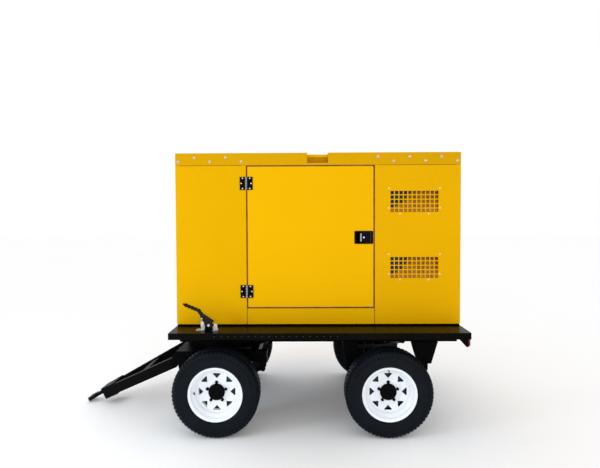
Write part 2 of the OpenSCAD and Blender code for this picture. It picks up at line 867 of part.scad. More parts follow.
module engine() {
    color(cast_grey) {
        box(-380, 270, -170, 170, 950, 1330);
        box(-330, 200, -130, 130, 850, 950);
        box(-360, 250, -150, 150, 1330, 1440);
        box(-340, 230, -90, 90, 1440, 1500);
        rod_x(270, 330, 0, crank_z, 235);
        rod_x(-404, -380, 0, crank_z, 85);
        rod_x(-404, -380, 0, fan_z + 60, 40);
        rod_x(-450, -380, 0, fan_z, 12);
        for (y = [-185, 185]) rod_x(-340, 230, y, 1390, 35);
        rod_x(-150, 250, -230, 1640, 90);
        translate([0, -230, 1390]) cylinder(r = 30, h = 250);
        box(-30, 30, -230, -150, 1360, 1420);
        rod_x(-260, -140, -215, 1100, 45);
        rod_x(-60, 120, 225, 1130, 60);
        for (x = [-340, 180], s = [-1, 1]) {
            box(x, x + 70, s > 0 ? 150 : -260, s > 0 ? 260 : -150, 960, 1000);
            box(x, x + 70, s > 0 ? 200 : -260, s > 0 ? 260 : -200, panel_z, 960);
        }
    }
}

module alternator() {
    color("steelblue") {
        rod_x(330, 900, 0, crank_z, 228);
        rod_x(900, 960, 0, crank_z, 190);
        box(460, 860, -170, 170, 1290, 1460);
        for (y = [-220, 150]) box(420, 820, y, y + 70, panel_z, 960);
    }
}

module radiator() {
    core_w = 330;
    color(frame_black) {
        box(-545, -490, -core_w, core_w, 860, 1520);
        box(-550, -485, -core_w, core_w, 1520, 1575);
        box(-550, -485, -core_w, core_w, 805, 860);
        for (y = [-core_w, core_w - 60]) box(-550, -485, y, y + 60, panel_z, 805);
        difference() {
            box(-490, -487, -core_w, core_w, 860, 1520);
            rod_x(-500, -480, 0, fan_z, 264);
        }
        difference() {
            rod_x(-487, -425, 0, fan_z, 268);
            rod_x(-488, -424, 0, fan_z, 264);
        }
    }
}

module fan() {
    blades = 7;
    color("orangered") translate([0, 0, fan_z]) difference() {
        union() {
            rod_x(-455, -412, 0, 0, 60);
            for (i = [0:blades - 1]) rotate([i * 360 / blades, 0, 0])
                translate([-434, 0, 50]) rotate([0, 0, 32]) translate([-2, -34, 0]) cube([4, 68, 200]);
        }
        rod_x(-460, -405, 0, 0, 12 + fit);
    }
}

module fuel_tank() {
    color(cast_grey) difference() {
        union() {
            box(1040, 1472, -400, 400, panel_z, 1046);
            translate([1120, -330, 1046]) cylinder(r = 45, h = 30);
        }
        box(1044, 1468, -396, 396, panel_z + 4, 1042);
    }
}

// A closed, hollow can with its inlet pipe below and its tail pipe in front
module silencer() {
    axis_y = 185;
    axis_z = 1730;
    can_r = 110;
    color(zinc) {
        difference() {
            rod_x(-350, 250, axis_y, axis_z, can_r);
            rod_x(-347, 247, axis_y, axis_z, can_r - 3);
        }
        difference() {
            translate([100, axis_y, 1425]) cylinder(r = 32, h = axis_z - 1425);
            rod_x(-350, 250, axis_y, axis_z, can_r + weld_gap);
        }
        rod_x(-480, -350 - weld_gap, axis_y, axis_z, 30);
        translate([-480, axis_y, axis_z - 30]) cylinder(r = 30, h = roof_z - 6 - axis_z + 30);
    }
}

module control_panel() {
    face_x = rear_x - 14;
    color("#303338") {
        difference() {
            box(1380, face_x, -245, 245, 1485, 1835);
            box(1383, face_x - 3, -242, 242, 1488, 1832);
        }
        box(face_x, face_x + 6, -180, 20, 1690, 1810);
        rod_x(face_x, face_x + 12, 130, 1760, 22);
        rod_x(face_x, face_x + 8, 130, 1690, 14);
        for (y = [-180, -80, 20, 120]) rod_x(face_x, face_x + 12, y + 15, 1560, 34);
    }
}

deck();
main_rails();
cross_members();
turntable_upper_ring();
rear_spring_hangers();
springs(rear_axle_x);  // rear_springs
spring_clamps(rear_axle_x);  // rear_spring_clamps
rear_axle();
tail_lamp_brackets();
tail_lamps();
base_frame();
canopy_frame();
side_front_panels();
side_rear_panels();
door_sills();
front_end_panel();
rear_end_panel();
roof_cover();
vent_grilles();
front_louvres();
canopy_screws();
hinge_fixed_leaves();
near_door();
near_door_fittings();
near_latch_paddle();
far_door();
far_door_fittings();
far_latch_paddle();
brake_lever_base();
brake_lever();
brake_release_button();
bogie_frame();
turntable_lower_ring();
front_spring_hangers();
springs(front_axle_x);  // front_springs
spring_clamps(front_axle_x);  // front_spring_clamps
color(frame_black) axle_beam(front_axle_x);  // front_axle
drawbar_near_beam();
drawbar_far_beam();
drawbar_ties();
tow_eye();
tyre_front_near();
rim_front_near();
hub_front_near();
tyre_front_far();
rim_front_far();
hub_front_far();
tyre_rear_near();
rim_rear_near();
hub_rear_near();
tyre_rear_far();
rim_rear_far();
hub_rear_far();
engine();
alternator();
radiator();
fan();
fuel_tank();
silencer();
control_panel();
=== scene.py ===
"""Towable diesel generator: looks, final meshes and studio view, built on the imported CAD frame."""
import json
import math
import bmesh
import bpy
from mathutils import Matrix, Vector


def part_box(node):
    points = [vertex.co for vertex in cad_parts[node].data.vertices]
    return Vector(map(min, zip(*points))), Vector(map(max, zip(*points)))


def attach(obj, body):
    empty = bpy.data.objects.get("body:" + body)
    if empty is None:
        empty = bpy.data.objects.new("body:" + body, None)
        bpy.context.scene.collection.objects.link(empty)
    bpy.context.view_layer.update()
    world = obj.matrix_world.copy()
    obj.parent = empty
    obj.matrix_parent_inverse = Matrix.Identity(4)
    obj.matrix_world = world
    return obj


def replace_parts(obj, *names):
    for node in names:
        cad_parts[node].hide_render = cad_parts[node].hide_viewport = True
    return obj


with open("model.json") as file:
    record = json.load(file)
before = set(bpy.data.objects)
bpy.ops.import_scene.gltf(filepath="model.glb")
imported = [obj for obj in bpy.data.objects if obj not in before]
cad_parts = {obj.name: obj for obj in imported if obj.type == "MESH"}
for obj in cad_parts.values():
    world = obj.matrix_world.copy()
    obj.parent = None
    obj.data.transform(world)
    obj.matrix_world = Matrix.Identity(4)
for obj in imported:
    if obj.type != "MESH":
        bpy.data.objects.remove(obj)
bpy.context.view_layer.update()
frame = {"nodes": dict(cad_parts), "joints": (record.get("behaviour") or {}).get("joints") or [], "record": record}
NODES = frame["nodes"]
SLOTS = {s["node"]: s["material_slot"] for s in frame["record"]["subparts"]}
WHEELS = ("front_near", "front_far", "rear_near", "rear_far")


# ---------------------------------------------------------------- camera, light and floor

CAMERA_PLACE = (0.352, -3.794, 1.5375)
CAMERA_YAW, CAMERA_PITCH, CAMERA_ROLL = 0.52, -1.69, -0.24  # degrees
LENS_MM = 26.84
FLOOR_HALF = 40


def make_camera():
    """Nearly level view of the near side, from a little ahead of the canopy's middle."""
    data = bpy.data.cameras.new("camera")
    data.sensor_width = 36.0
    data.lens = LENS_MM
    cam = bpy.data.objects.new("camera", data)
    turn = Matrix.Rotation(math.radians(CAMERA_YAW), 4, "Z")
    tilt = Matrix.Rotation(math.radians(90 + CAMERA_PITCH), 4, "X")
    roll = Matrix.Rotation(math.radians(CAMERA_ROLL), 4, "Z")
    cam.matrix_world = Matrix.Translation(CAMERA_PLACE) @ turn @ tilt @ roll
    bpy.context.scene.collection.objects.link(cam)
    bpy.context.scene.camera = cam


def area_light(name, place, target, size, watts, colour=(1, 1, 1)):
    data = bpy.data.lights.new(name, "AREA")
    data.shape = "RECTANGLE"
    data.size = size[0]
    data.size_y = size[1]
    data.energy = watts
    data.color = colour
    lamp = bpy.data.objects.new(name, data)
    lamp.location = place
    lamp.rotation_euler = (Vector(target) - Vector(place)).to_track_quat("-Z", "Y").to_euler()
    bpy.context.scene.collection.objects.link(lamp)


def make_studio():
    """Pale floor, pale surroundings and large soft lights."""
    world = bpy.data.worlds.new("studio")
    world.use_nodes = True
    world.node_tree.nodes["Background"].inputs["Color"].default_value = (1.0, 1.0, 1.0, 1)
    world.node_tree.nodes["Background"].inputs["Strength"].default_value = 1.0
    bpy.context.scene.world = world
    bm = bmesh.new()
    bmesh.ops.create_grid(bm, x_segments=8, y_segments=8, size=FLOOR_HALF)
    mesh = bpy.data.meshes.new("floor")
    bm.to_mesh(mesh)
    bm.free()
    floor = bpy.data.objects.new("floor", mesh)
    floor.data.materials.append(floor_paint())
    bpy.context.scene.collection.objects.link(floor)
    area_light("key", (1.0, -6.2, 1.6), (0.2, 0, 1.0), (2.2, 1.8), 38)
    area_light("sheen", (-3.4, -2.4, 1.3), (0.2, -0.7, 0.4), (0.6, 1.4), 46, (0.66, 0.83, 1.0))
    bpy.context.scene.view_settings.view_transform = "Standard"


# ---------------------------------------------------------------- materials

def node_material(name):
    mat = bpy.data.materials.new(name)
    mat.use_nodes = True
    return mat, mat.node_tree, mat.node_tree.nodes["Principled BSDF"]


def add(tree, kind, **values):
    node = tree.nodes.new(kind)
    for key, value in values.items():
        if hasattr(node, key):
            setattr(node, key, value)
        else:
            node.inputs[key].default_value = value
    return node


def noise(tree, scale, detail=3.0, stretch=None):
    """A noise texture in the object's own metres, stretched along an axis if asked."""
    coords = add(tree, "ShaderNodeTexCoord")
    mapping = add(tree, "ShaderNodeMapping")
    if stretch:
        mapping.inputs["Scale"].default_value = stretch
    tree.links.new(coords.outputs["Object"], mapping.inputs["Vector"])
    node = add(tree, "ShaderNodeTexNoise", Scale=scale, Detail=detail)
    tree.links.new(mapping.outputs["Vector"], node.inputs["Vector"])
    return node


def ramp(tree, source, stops):
    node = add(tree, "ShaderNodeValToRGB")
    while len(node.color_ramp.elements) < len(stops):
        node.color_ramp.elements.new(0.5)
    for element, (place, colour) in zip(node.color_ramp.elements, stops):
        element.position = place
        element.color = (*colour, 1) if len(colour) == 3 else colour
    tree.links.new(source, node.inputs["Fac"])
    return node


def spread(tree, source, low, high):
    node = add(tree, "ShaderNodeMapRange")
    node.inputs["To Min"].default_value = low
    node.inputs["To Max"].default_value = high
    tree.links.new(source, node.inputs["Value"])
    return node


def tint(tree, shader, source, stops):
    """Colours the shader by a ramp over a texture's value."""
    tree.links.new(ramp(tree, source, stops).outputs["Color"], shader.inputs["Base Color"])


def vary_gloss(tree, shader, source, low, high):
    tree.links.new(spread(tree, source, low, high).outputs["Result"], shader.inputs["Roughness"])


def bump(tree, source, shader, strength, distance):
    node = add(tree, "ShaderNodeBump", Strength=strength, Distance=distance)
    tree.links.new(source, node.inputs["Height"])
    tree.links.new(node.outputs["Normal"], shader.inputs["Normal"])


def paint(name, colour, rough=0.35, coat=0.3, vary=0.04, peel=0.06, gleam=0.5):
    """Sprayed paint: broad colour drift, uneven gloss and a fine orange-peel surface."""
    mat, tree, shader = node_material(name)
    broad = noise(tree, 2.2, 5.0)
    low = tuple(c * (1 - vary) for c in colour)
    high = tuple(min(1.0, c * (1 + vary)) for c in colour)
    tint(tree, shader, broad.outputs["Fac"], [(0.3, low), (0.7, high)])
    patchy = noise(tree, 14.0, 4.0)
    vary_gloss(tree, shader, patchy.outputs["Fac"], rough * 0.82, rough * 1.2)
    shader.inputs["Specular IOR Level"].default_value = gleam
    shader.inputs["Coat Weight"].default_value = coat
    shader.inputs["Coat Roughness"].default_value = 0.12
    fine = noise(tree, 420.0, 2.0)
    bump(tree, fine.outputs["Fac"], shader, peel, 0.0006)
    return mat


def tow_eye_highlight():
    """Black towing eye with a painted highlight: its tip is coloured pale bare steel for the light it catches,
    fading to black along its length.
    """
    mat, tree, shader = node_material("tow_eye_painted_highlight")
    coords = add(tree, "ShaderNodeTexCoord")
    parts = add(tree, "ShaderNodeSeparateXYZ")
    tree.links.new(coords.outputs["Object"], parts.inputs["Vector"])
    along = add(tree, "ShaderNodeMapRange")
    along.inputs["From Min"].default_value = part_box("tow_eye")[0][0] + 0.006
    along.inputs["From Max"].default_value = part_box("tow_eye")[0][0] + 0.040
    tree.links.new(parts.outputs["X"], along.inputs["Value"])
    patch = noise(tree, 60.0, 4.0)
    highlight_mask = add(tree, "ShaderNodeMath", operation="ADD")
    tree.links.new(along.outputs["Result"], highlight_mask.inputs[0])
    tree.links.new(spread(tree, patch.outputs["Fac"], -0.35, 0.35).outputs["Result"], highlight_mask.inputs[1])
    # painted highlight: the pale grey at the tip stands in for light, blotched by noise, with black further back
    tint(tree, shader, highlight_mask.outputs["Value"], [(0.3, (0.62, 0.62, 0.60)), (0.6, (0.0015, 0.0015, 0.002))])
    shader.inputs["Roughness"].default_value = 0.4
    shader.inputs["Specular IOR Level"].default_value = 0.1
    bump(tree, patch.outputs["Fac"], shader, 0.2, 0.0006)
    return mat


def floor_paint():
    mat, tree, shader = node_material("floor_pale")
    soft = noise(tree, 0.6, 3.0)
    tint(tree, shader, soft.outputs["Fac"], [(0.3, (0.985, 0.985, 0.99)), (0.7, (0.995, 0.995, 0.995))])
    shader.inputs["Roughness"].default_value = 0.8
    shader.inputs["Specular IOR Level"].default_value = 0.1
    return mat


def rubber(name, colour, gleam):
    """Moulded rubber: dusty patches over black, with a fine grain."""
    mat, tree, shader = node_material(name)
    patch = noise(tree, 9.0, 6.0)
    dark = tuple(c * 0.6 for c in colour)
    pale = tuple(c * 1.7 for c in colour)
    tint(tree, shader, patch.outputs["Fac"], [(0.35, dark), (0.75, pale)])
    vary_gloss(tree, shader, patch.outputs["Fac"], 0.4, 0.6)
    shader.inputs["Specular IOR Level"].default_value = gleam
    grain = noise(tree, 600.0, 2.0)
    bump(tree, grain.outputs["Fac"], shader, 0.25, 0.0006)
    return mat


def zinc():
    """Zinc plating: cloudy spangle and fine scratches."""
    mat, tree, shader = node_material("zinc_plate")
    cells = add(tree, "ShaderNodeTexVoronoi", Scale=180.0)
    coords = add(tree, "ShaderNodeTexCoord")
    tree.links.new(coords.outputs["Object"], cells.inputs["Vector"])
    tint(tree, shader, cells.outputs["Distance"], [(0.0, (0.50, 0.49, 0.46)), (1.0, (0.80, 0.79, 0.74))])
    shader.inputs["Metallic"].default_value = 0.9
    scratch = noise(tree, 90.0, 5.0, stretch=(1, 1, 12))
    vary_gloss(tree, shader, scratch.outputs["Fac"], 0.25, 0.5)
    bump(tree, scratch.outputs["Fac"], shader, 0.15, 0.0004)
    return mat


def casting(name, colour, rough=0.55):
    """Painted or raw casting with a sand-cast surface."""
    mat, tree, shader = node_material(name)
    broad = noise(tree, 7.0, 6.0)
    dark = tuple(c * 0.7 for c in colour)
    tint(tree, shader, broad.outputs["Fac"], [(0.3, dark), (0.7, colour)])
    shader.inputs["Roughness"].default_value = rough
    shader.inputs["Metallic"].default_value = 0.2
    sand = noise(tree, 260.0, 6.0)
    bump(tree, sand.outputs["Fac"], shader, 0.4, 0.001)
    return mat


def plastic(name, colour, rough=0.45):
    """Moulded plastic with a light spark-eroded grain."""
    mat, tree, shader = node_material(name)
    grain = noise(tree, 380.0, 3.0)
    dark = tuple(c * 0.85 for c in colour)
    tint(tree, shader, grain.outputs["Fac"], [(0.3, dark), (0.7, colour)])
    shader.inputs["Roughness"].default_value = rough
    bump(tree, grain.outputs["Fac"], shader, 0.12, 0.0005)
    return mat


def lens():
    mat, tree, shader = node_material("lamp_lens")
    ribs = noise(tree, 40.0, 1.0, stretch=(1, 8, 1))
    tint(tree, shader, ribs.outputs["Fac"], [(0.35, (0.35, 0.01, 0.01)), (0.65, (0.65, 0.03, 0.02))])
    shader.inputs["Roughness"].default_value = 0.12
    shader.inputs["Coat Weight"].default_value = 0.8
    bump(tree, ribs.outputs["Fac"], shader, 0.3, 0.001)
    return mat


def glass_face():
    """Dark display glass with a faint smear."""
    mat, tree, shader = node_material("display_glass")
    smear = noise(tree, 18.0, 3.0)
    tint(tree, shader, smear.outputs["Fac"], [(0.3, (0.012, 0.02, 0.022)), (0.7, (0.02, 0.034, 0.036))])
    vary_gloss(tree, shader, smear.outputs["Fac"], 0.08, 0.2)
    return mat


def foam():
    """Sound-absorbing foam: dark, open-celled and matt."""
    mat, tree, shader = node_material("acoustic_foam")
    cells = add(tree, "ShaderNodeTexVoronoi", Scale=60.0)
    coords = add(tree, "ShaderNodeTexCoord")
    tree.links.new(coords.outputs["Object"], cells.inputs["Vector"])
    tint(tree, shader, cells.outputs["Distance"], [(0.0, (0.012, 0.012, 0.013)), (0.8, (0.05, 0.05, 0.052))])
    shader.inputs["Roughness"].default_value = 0.95
    bump(tree, cells.outputs["Distance"], shader, 0.7, 0.004)
    return mat


def baffle_board():
    """Dusty brown board behind the air grilles."""
    mat, tree, shader = node_material("baffle_board")
    fibre = noise(tree, 24.0, 6.0)
    tint(tree, shader, fibre.outputs["Fac"], [(0.3, (0.38, 0.125, 0.009)), (0.7, (0.66, 0.29, 0.016))])
    shader.inputs["Roughness"].default_value = 0.7
    bump(tree, fibre.outputs["Fac"], shader, 0.3, 0.002)
    return mat


MATS = {
    "canopy_yellow": paint("canopy_yellow_paint", (0.72, 0.377, 0.0003), 0.5, 0.0, 0.02, gleam=0.02),
    "chassis_black": paint("chassis_black", (0.0012, 0.0013, 0.0016), 0.42, 0.0, 0.4, 0.12, gleam=0.03),
    "black_fittings": paint("satin_black", (0.0012, 0.0012, 0.0015), 0.36, 0.0, 0.3, 0.1, gleam=0.04),
    "zinc": zinc(),
    "rim_white": paint("rim_white_paint", (0.83, 0.875, 0.92), 0.3, 0.15, 0.03, gleam=0.4),
    "tyre_rubber": rubber("tyre_rubber", (0.0014, 0.0032, 0.0062), 0.11),
    "spring_steel": paint("spring_steel", (0.006, 0.006, 0.007), 0.5, 0.0, 0.4, gleam=0.2),
    "lamp_red": lens(),
    "engine_grey": casting("engine_casting", (0.13, 0.135, 0.14)),
    "alternator_blue": casting("alternator_casting", (0.03, 0.08, 0.2), 0.45),
    "radiator_black": casting("radiator_black", (0.02, 0.02, 0.02)),
    "fan_plastic": plastic("fan_plastic", (0.5, 0.08, 0.01)),
    "tank_black": plastic("tank_plastic", (0.02, 0.02, 0.02)),
    "grip_rubber": rubber("grip_rubber", (0.003, 0.003, 0.0035), 0.2),
    "panel_grey": plastic("panel_grey", (0.05, 0.053, 0.058)),
    "deck": paint("deck_black_gloss", (0.002, 0.0018, 0.0014), 0.26, 0.0, 0.4, 0.03, gleam=0.035),
    # painted light: the door yellow is the canopy yellow made lighter and the roof yellow is made darker, for how
    # light falls on them
    "door": paint("door_yellow_painted_light", (0.785, 0.418, 0.0003), 0.5, 0.0, 0.015, gleam=0.02),
    "roof": paint("roof_yellow_painted_shade", (0.62, 0.325, 0.0008), 0.5, 0.0, 0.02, gleam=0.02),
    "tow_eye_highlight": tow_eye_highlight(),
    # painted shade: the brown of the strips round the doors stands in for the shadow in the door gap
    "gap_shade": rubber("door_gap_painted_shade", (0.20, 0.068, 0.030), 0.1),
    "barrel_steel": casting("hinge_barrel_steel", (0.30, 0.30, 0.33), 0.4),
    "pale_screw": paint("pale_screw", (0.85, 0.66, 0.25), 0.35, 0.0, 0.05, gleam=0.5),
    "glass": glass_face(),
    "red_cap": plastic("red_cap", (0.5, 0.012, 0.01)),
    "belt": rubber("belt_rubber", (0.010, 0.010, 0.010), 0.3),
    "amber": plastic("amber_cap", (0.65, 0.23, 0.01), 0.25),
    "blue_cap": plastic("blue_cap", (0.012, 0.06, 0.30)),
    "brass": casting("brass_fitting", (0.45, 0.30, 0.09), 0.35),
    "foam": foam(),
    "baffle": baffle_board(),
}


# ---------------------------------------------------------------- mesh helpers

def link(name, mesh, body, mat, place=None, smooth=True):
    """Makes a piece from a mesh, gives it a finish and sets it on its CAD body."""
    obj = bpy.data.objects.new(name, mesh)
    if not mesh.materials:
        mesh.materials.append(MATS[mat])
    if smooth:
        mesh.polygons.foreach_set("use_smooth", [True] * len(mesh.polygons))
    bpy.context.scene.collection.objects.link(obj)
    if place is not None:
        obj.matrix_world = place
    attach(obj, body)
    return obj


def bevel(obj, width):
    """Rounds the edges of a carried-over node where its faces turn by more than 35 degrees."""
    mod = obj.modifiers.new("edges", "BEVEL")
    mod.width = width
    mod.segments = 2
    mod.limit_method = "ANGLE"
    mod.angle_limit = math.radians(35)
    mod.harden_normals = True


def lathe_mesh(name, profile, steps=96, closed=True):
    """Turns (radius, z) points about Z."""
    mesh = bpy.data.meshes.new(name)
    verts = []
    for s in range(steps):
        a = 2 * math.pi * s / steps
        verts += [(r * math.cos(a), r * math.sin(a), z) for r, z in profile]
    n = len(profile)
    last = n if closed else n - 1
    faces = []
    for s in range(steps):
        t = (s + 1) % steps
        for k in range(last):
            m = (k + 1) % n
            faces.append((s * n + k, t * n + k, t * n + m, s * n + m))
    mesh.from_pydata(verts, [], faces)
    mesh.validate()
    return mesh


def islands(node):
    """Boxes of a CAD node's separate solids, as (low, high) corners."""
    bm = bmesh.new()
    bm.from_mesh(NODES[node].data)
    bmesh.ops.remove_doubles(bm, verts=bm.verts, dist=1e-6)
    seen, found = set(), []
    for start in bm.verts:
        if start in seen:
            continue
        stack, group = [start], []
        seen.add(start)
        while stack:
            v = stack.pop()
            group.append(v.co.copy())
            for e in v.link_edges:
                w = e.other_vert(v)
                if w not in seen:
                    seen.add(w)
                    stack.append(w)
        low = Vector([min(c[i] for c in group) for i in range(3)])
        high = Vector([max(c[i] for c in group) for i in range(3)])
        found.append((low, high))
    bm.free()
    return found


def wheel_place(wheel):
    """Matrix that takes a wheel piece's own +Z outboard and keeps its +Y up."""
    low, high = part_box("tyre_" + wheel)
    centre = (Vector(low) + Vector(high)) / 2
    if wheel.endswith("near"):
        turn = Matrix.Rotation(math.radians(90), 4, "X")
    else:
        turn = Matrix.Rotation(math.radians(-90), 4, "X") @ Matrix.Rotation(math.pi, 4, "Z")
    return Matrix.Translation(centre) @ turn


# ---------------------------------------------------------------- carried-over CAD nodes

def dress_cad_nodes():
    """Gives each node its finish and rounds its edges, more on the large and the cast ones."""
    # the doors and the roof cover take lit and shaded copies of the canopy yellow
    special = {"deck": "deck", "near_door": "door", "far_door": "door", "roof_cover": "roof",
               # the tow eye gets the black finish with a painted highlight at its tip
               "tow_eye": "tow_eye_highlight", "front_spring_clamps": "spring_steel",
               "rear_spring_clamps": "spring_steel"}
    widths = {"deck": 0.0035, "main_rails": 0.003, "engine": 0.006, "alternator": 0.006, "radiator": 0.004}
    for name, obj in NODES.items():
        obj.data.materials.clear()
        obj.data.materials.append(MATS[special.get(name, SLOTS[name])])
        bevel(obj, widths.get(name, 0.0012))


# ---------------------------------------------------------------- tyres and rims

TREAD_BLOCKS = 66
SHOULDER_R = 0.262
SHOULDER_WIDTH = 0.044
STUD_CIRCLE_R = 0.06985
STUDS = 5
WINDOWS = 8


def tread_depth(angle, z, r, radius):
    """Depth of the tread pattern: three zigzag grooves and cuts that run down over the shoulders."""
    phase = (angle * TREAD_BLOCKS / (2 * math.pi)) % 1.0
    zigzag = abs(phase * 2 - 1) * 0.005
    for centre in (-0.036, 0.0, 0.036):
        if abs(z - centre - zigzag + 0.0025) < 0.0032:
            return 0.008
    lean = (phase + abs(z) * 5.0 + (radius - r) * 4.0) % 1.0
    if abs(z) > 0.041 and lean < 0.34:
        return 0.0075
    if (phase + z * 12.0) % 1.0 < 0.14:
        return 0.004
    return 0.0


def tyre_profile(radius, half):
    """Section of the tyre from bead to bead, and which of its points carry the tread."""
    bead = [(0.1785, 0.044), (0.1785, 0.0625), (0.190, 0.0662), (0.1975, 0.0745), (0.203, 0.0785)]
    wall = []
    for k in range(12):
        r = 0.206 + 0.054 * k / 11
        rib = 0.0008 if k in (2, 3, 8, 9) else 0.0
        wall.append((r, half - 0.0006 - 1.9 * (r - 0.241) ** 2 - 0.0008 + rib))
    wall += [(0.2605, half - 0.0034), (0.2625, half - 0.0034)]
    shoulder = []
    flat = half - SHOULDER_WIDTH
    for k in range(17):
        turn = math.radians(6 + 84 * (k / 16))
        r = SHOULDER_R + (radius - SHOULDER_R) * math.sin(turn) ** 0.92
        shoulder.append((r, flat + (half - 0.0018 - flat) * math.cos(turn) ** 0.62))
    steps = 30
    flat = shoulder[-1][1]
    crown = [(radius - 0.0008 * (2 * k / steps - 1) ** 2, flat * (1 - 2 * k / steps))
             for k in range(1, steps)]
    tread = shoulder + crown + [(r, -z) for r, z in reversed(shoulder)]
    first = len(bead) + len(wall)
    profile = bead + wall + tread + [(r, -z) for r, z in reversed(bead + wall)]
    return profile, range(first, first + len(tread))


def tyre_mesh(radius, width):
    """A trailer tyre: ribbed side walls, round shoulders and block tread that runs over them."""
    profile, treaded = tyre_profile(radius, width / 2)
    turns = TREAD_BLOCKS * 8
    verts = []
    for s in range(turns):
        a = 2 * math.pi * s / turns
        for k, (r, z) in enumerate(profile):
            if k in treaded:
                depth = tread_depth(a, z, r, radius)
                out = min(1.0, max(0.0, (r - SHOULDER_R) / (radius - SHOULDER_R)) * 1.4)
                r -= depth * out
                z -= math.copysign(depth * (1 - out) * 0.8, z)
            verts.append((r * math.cos(a), r * math.sin(a), z))
    n = len(profile)
    faces = []
    for s in range(turns):
        t = (s + 1) % turns
        for k in range(n - 1):
            faces.append((s * n + k, s * n + k + 1, t * n + k + 1, t * n + k))
    mesh = bpy.data.meshes.new("tyre")
    mesh.from_pydata(verts, [], faces)
    mesh.set_sharp_from_angle(angle=math.radians(38))
    return mesh


def rounded_polygon(points, r, steps=5):
    """A closed outline with each corner rounded to radius r."""
    out = []
    n = len(points)
    for i in range(n):
        p, a, b = (Vector(points[j % n]) for j in (i, i - 1, i + 1))
        u, v = (a - p).normalized(), (b - p).normalized()
        half = u.angle(v) / 2
        reach = r / math.tan(half)
        centre = p + (u + v).normalized() * (r / math.sin(half))
        start, end = p + u * reach - centre, p + v * reach - centre
        for k in range(steps + 1):
            out.append(tuple(centre + start.lerp(end, k / steps).normalized() * r))
    return out


def circle(r, cx=0.0, cy=0.0, steps=48):
    return [(cx + r * math.cos(2 * math.pi * k / steps), cy + r * math.sin(2 * math.pi * k / steps))
            for k in range(steps)]


def curve_to_mesh(curve):
    temp = bpy.data.objects.new(curve.name, curve)
    bpy.context.scene.collection.objects.link(temp)
    bpy.context.view_layer.update()
    mesh = bpy.data.meshes.new_from_object(temp.evaluated_get(bpy.context.evaluated_depsgraph_get()))
    bpy.data.objects.remove(temp)
    bpy.data.curves.remove(curve)
    mesh.set_sharp_from_angle(angle=math.radians(50))
    return mesh


def plate_mesh(name, outlines, thick, edge):
    """A flat plate in XY from closed outlines, the inner ones being holes, with rounded edges."""
    curve = bpy.data.curves.new(name, "CURVE")
    curve.dimensions = "2D"
    curve.fill_mode = "BOTH"
    curve.extrude = thick / 2 - edge
    curve.bevel_depth = edge
    curve.bevel_resolution = 2
    curve.offset = -edge
    for points in outlines:
        spline = curve.splines.new("POLY")
        spline.points.add(len(points) - 1)
        for p, q in zip(spline.points, points):
            p.co = (q[0], q[1], 0, 1)
        spline.use_cyclic_u = True
    return curve_to_mesh(curve)


def tube_mesh(name, points, r):
    """A round pipe that bends smoothly through the points."""
    curve = bpy.data.curves.new(name, "CURVE")
    curve.dimensions = "3D"
    curve.bevel_depth = r
    curve.bevel_resolution = 5
    curve.use_fill_caps = True
    spline = curve.splines.new("BEZIER")
    spline.bezier_points.add(len(points) - 1)
    for knot, point in zip(spline.bezier_points, points):
        knot.co = point
        knot.handle_left_type = knot.handle_right_type = "AUTO"
    return curve_to_mesh(curve)


def join_meshes(name, parts):
    """One mesh from (mesh, matrix) pairs."""
    bm = bmesh.new()
    for mesh, place in parts:
        part = mesh.copy()
        part.transform(place)
        bm.from_mesh(part)
        bpy.data.meshes.remove(part)
    out = bpy.data.meshes.new(name)
    bm.to_mesh(out)
    bm.free()
    return out


def shift(x, y, z):
    return Matrix.Translation((x, y, z))


def polar(r, degrees):
    a = math.radians(degrees)
    return r * math.cos(a), r * math.sin(a)


def stud_angle(number):
    return 90 + 360 / STUDS * number


def rim_mesh():
    """A pressed steel wheel: rolled rim, flat disc with eight windows and a raised bolt pad."""
    side = [(0.1945, 0.0735), (0.1932, 0.0748), (0.1915, 0.0748), (0.1865, 0.0735), (0.1800, 0.0712),
            (0.1762, 0.0690), (0.1744, 0.0655), (0.1741, 0.0450), (0.1725, 0.0425), (0.1535, 0.0290),
            (0.1520, 0.0265)]
    inner = side + [(r, -z) for r, z in reversed(side)]
    outer = [(0.1945, -0.070), (0.1830, -0.0665), (0.1780, -0.064), (0.1780, -0.042), (0.1560, -0.027)]
    outer = outer + [(r, -z) for r, z in reversed(outer)]
    barrel = lathe_mesh("rim_barrel", inner + outer, steps=128)
    barrel.set_sharp_from_angle(angle=math.radians(45))
    windows = []
    tri = [Vector((0.1335, -0.0325)), Vector((0.1335, 0.0325)), Vector((0.0965, 0.0))]
    for k in range(WINDOWS):
        spin = Matrix.Rotation(math.radians(90 + k * 360 / WINDOWS), 2)
        windows.append(rounded_polygon([tuple(spin @ p) for p in tri], 0.0045))
    studs = [circle(0.0125, *polar(STUD_CIRCLE_R, stud_angle(k)), steps=20) for k in range(STUDS)]
    disc = plate_mesh("disc", [circle(0.1535, steps=96), circle(0.05, steps=48)] + windows, 0.006, 0.0014)
    pad = plate_mesh("pad", [circle(0.0955, steps=72), circle(0.0586, steps=48)] + studs, 0.005, 0.0018)
    ring = lathe_mesh("ring", [(0.1535, 0.004), (0.1505, 0.006), (0.1455, 0.0075), (0.1415, 0.0065),
                               (0.1405, 0.004)], steps=96)
    up = shift(0, 0, 0.003)
    return join_meshes("rim", [(barrel, Matrix()), (disc, up), (pad, shift(0, 0, 0.0078)),
                               (ring, Matrix())])


def hub_cap_mesh():
    """Dished black hub cap with a rolled edge, a shallow ring and a plain raised button."""
    profile = [(0.0, 0.0262), (0.010, 0.0260), (0.012, 0.0248), (0.020, 0.0242), (0.034, 0.0246),
               (0.040, 0.0262), (0.050, 0.0258), (0.0562, 0.0230), (0.0590, 0.0180), (0.0592, 0.0066)]
    mesh = lathe_mesh("hub_cap", profile, steps=72, closed=False)
    mesh.set_sharp_from_angle(angle=math.radians(50))
    return mesh


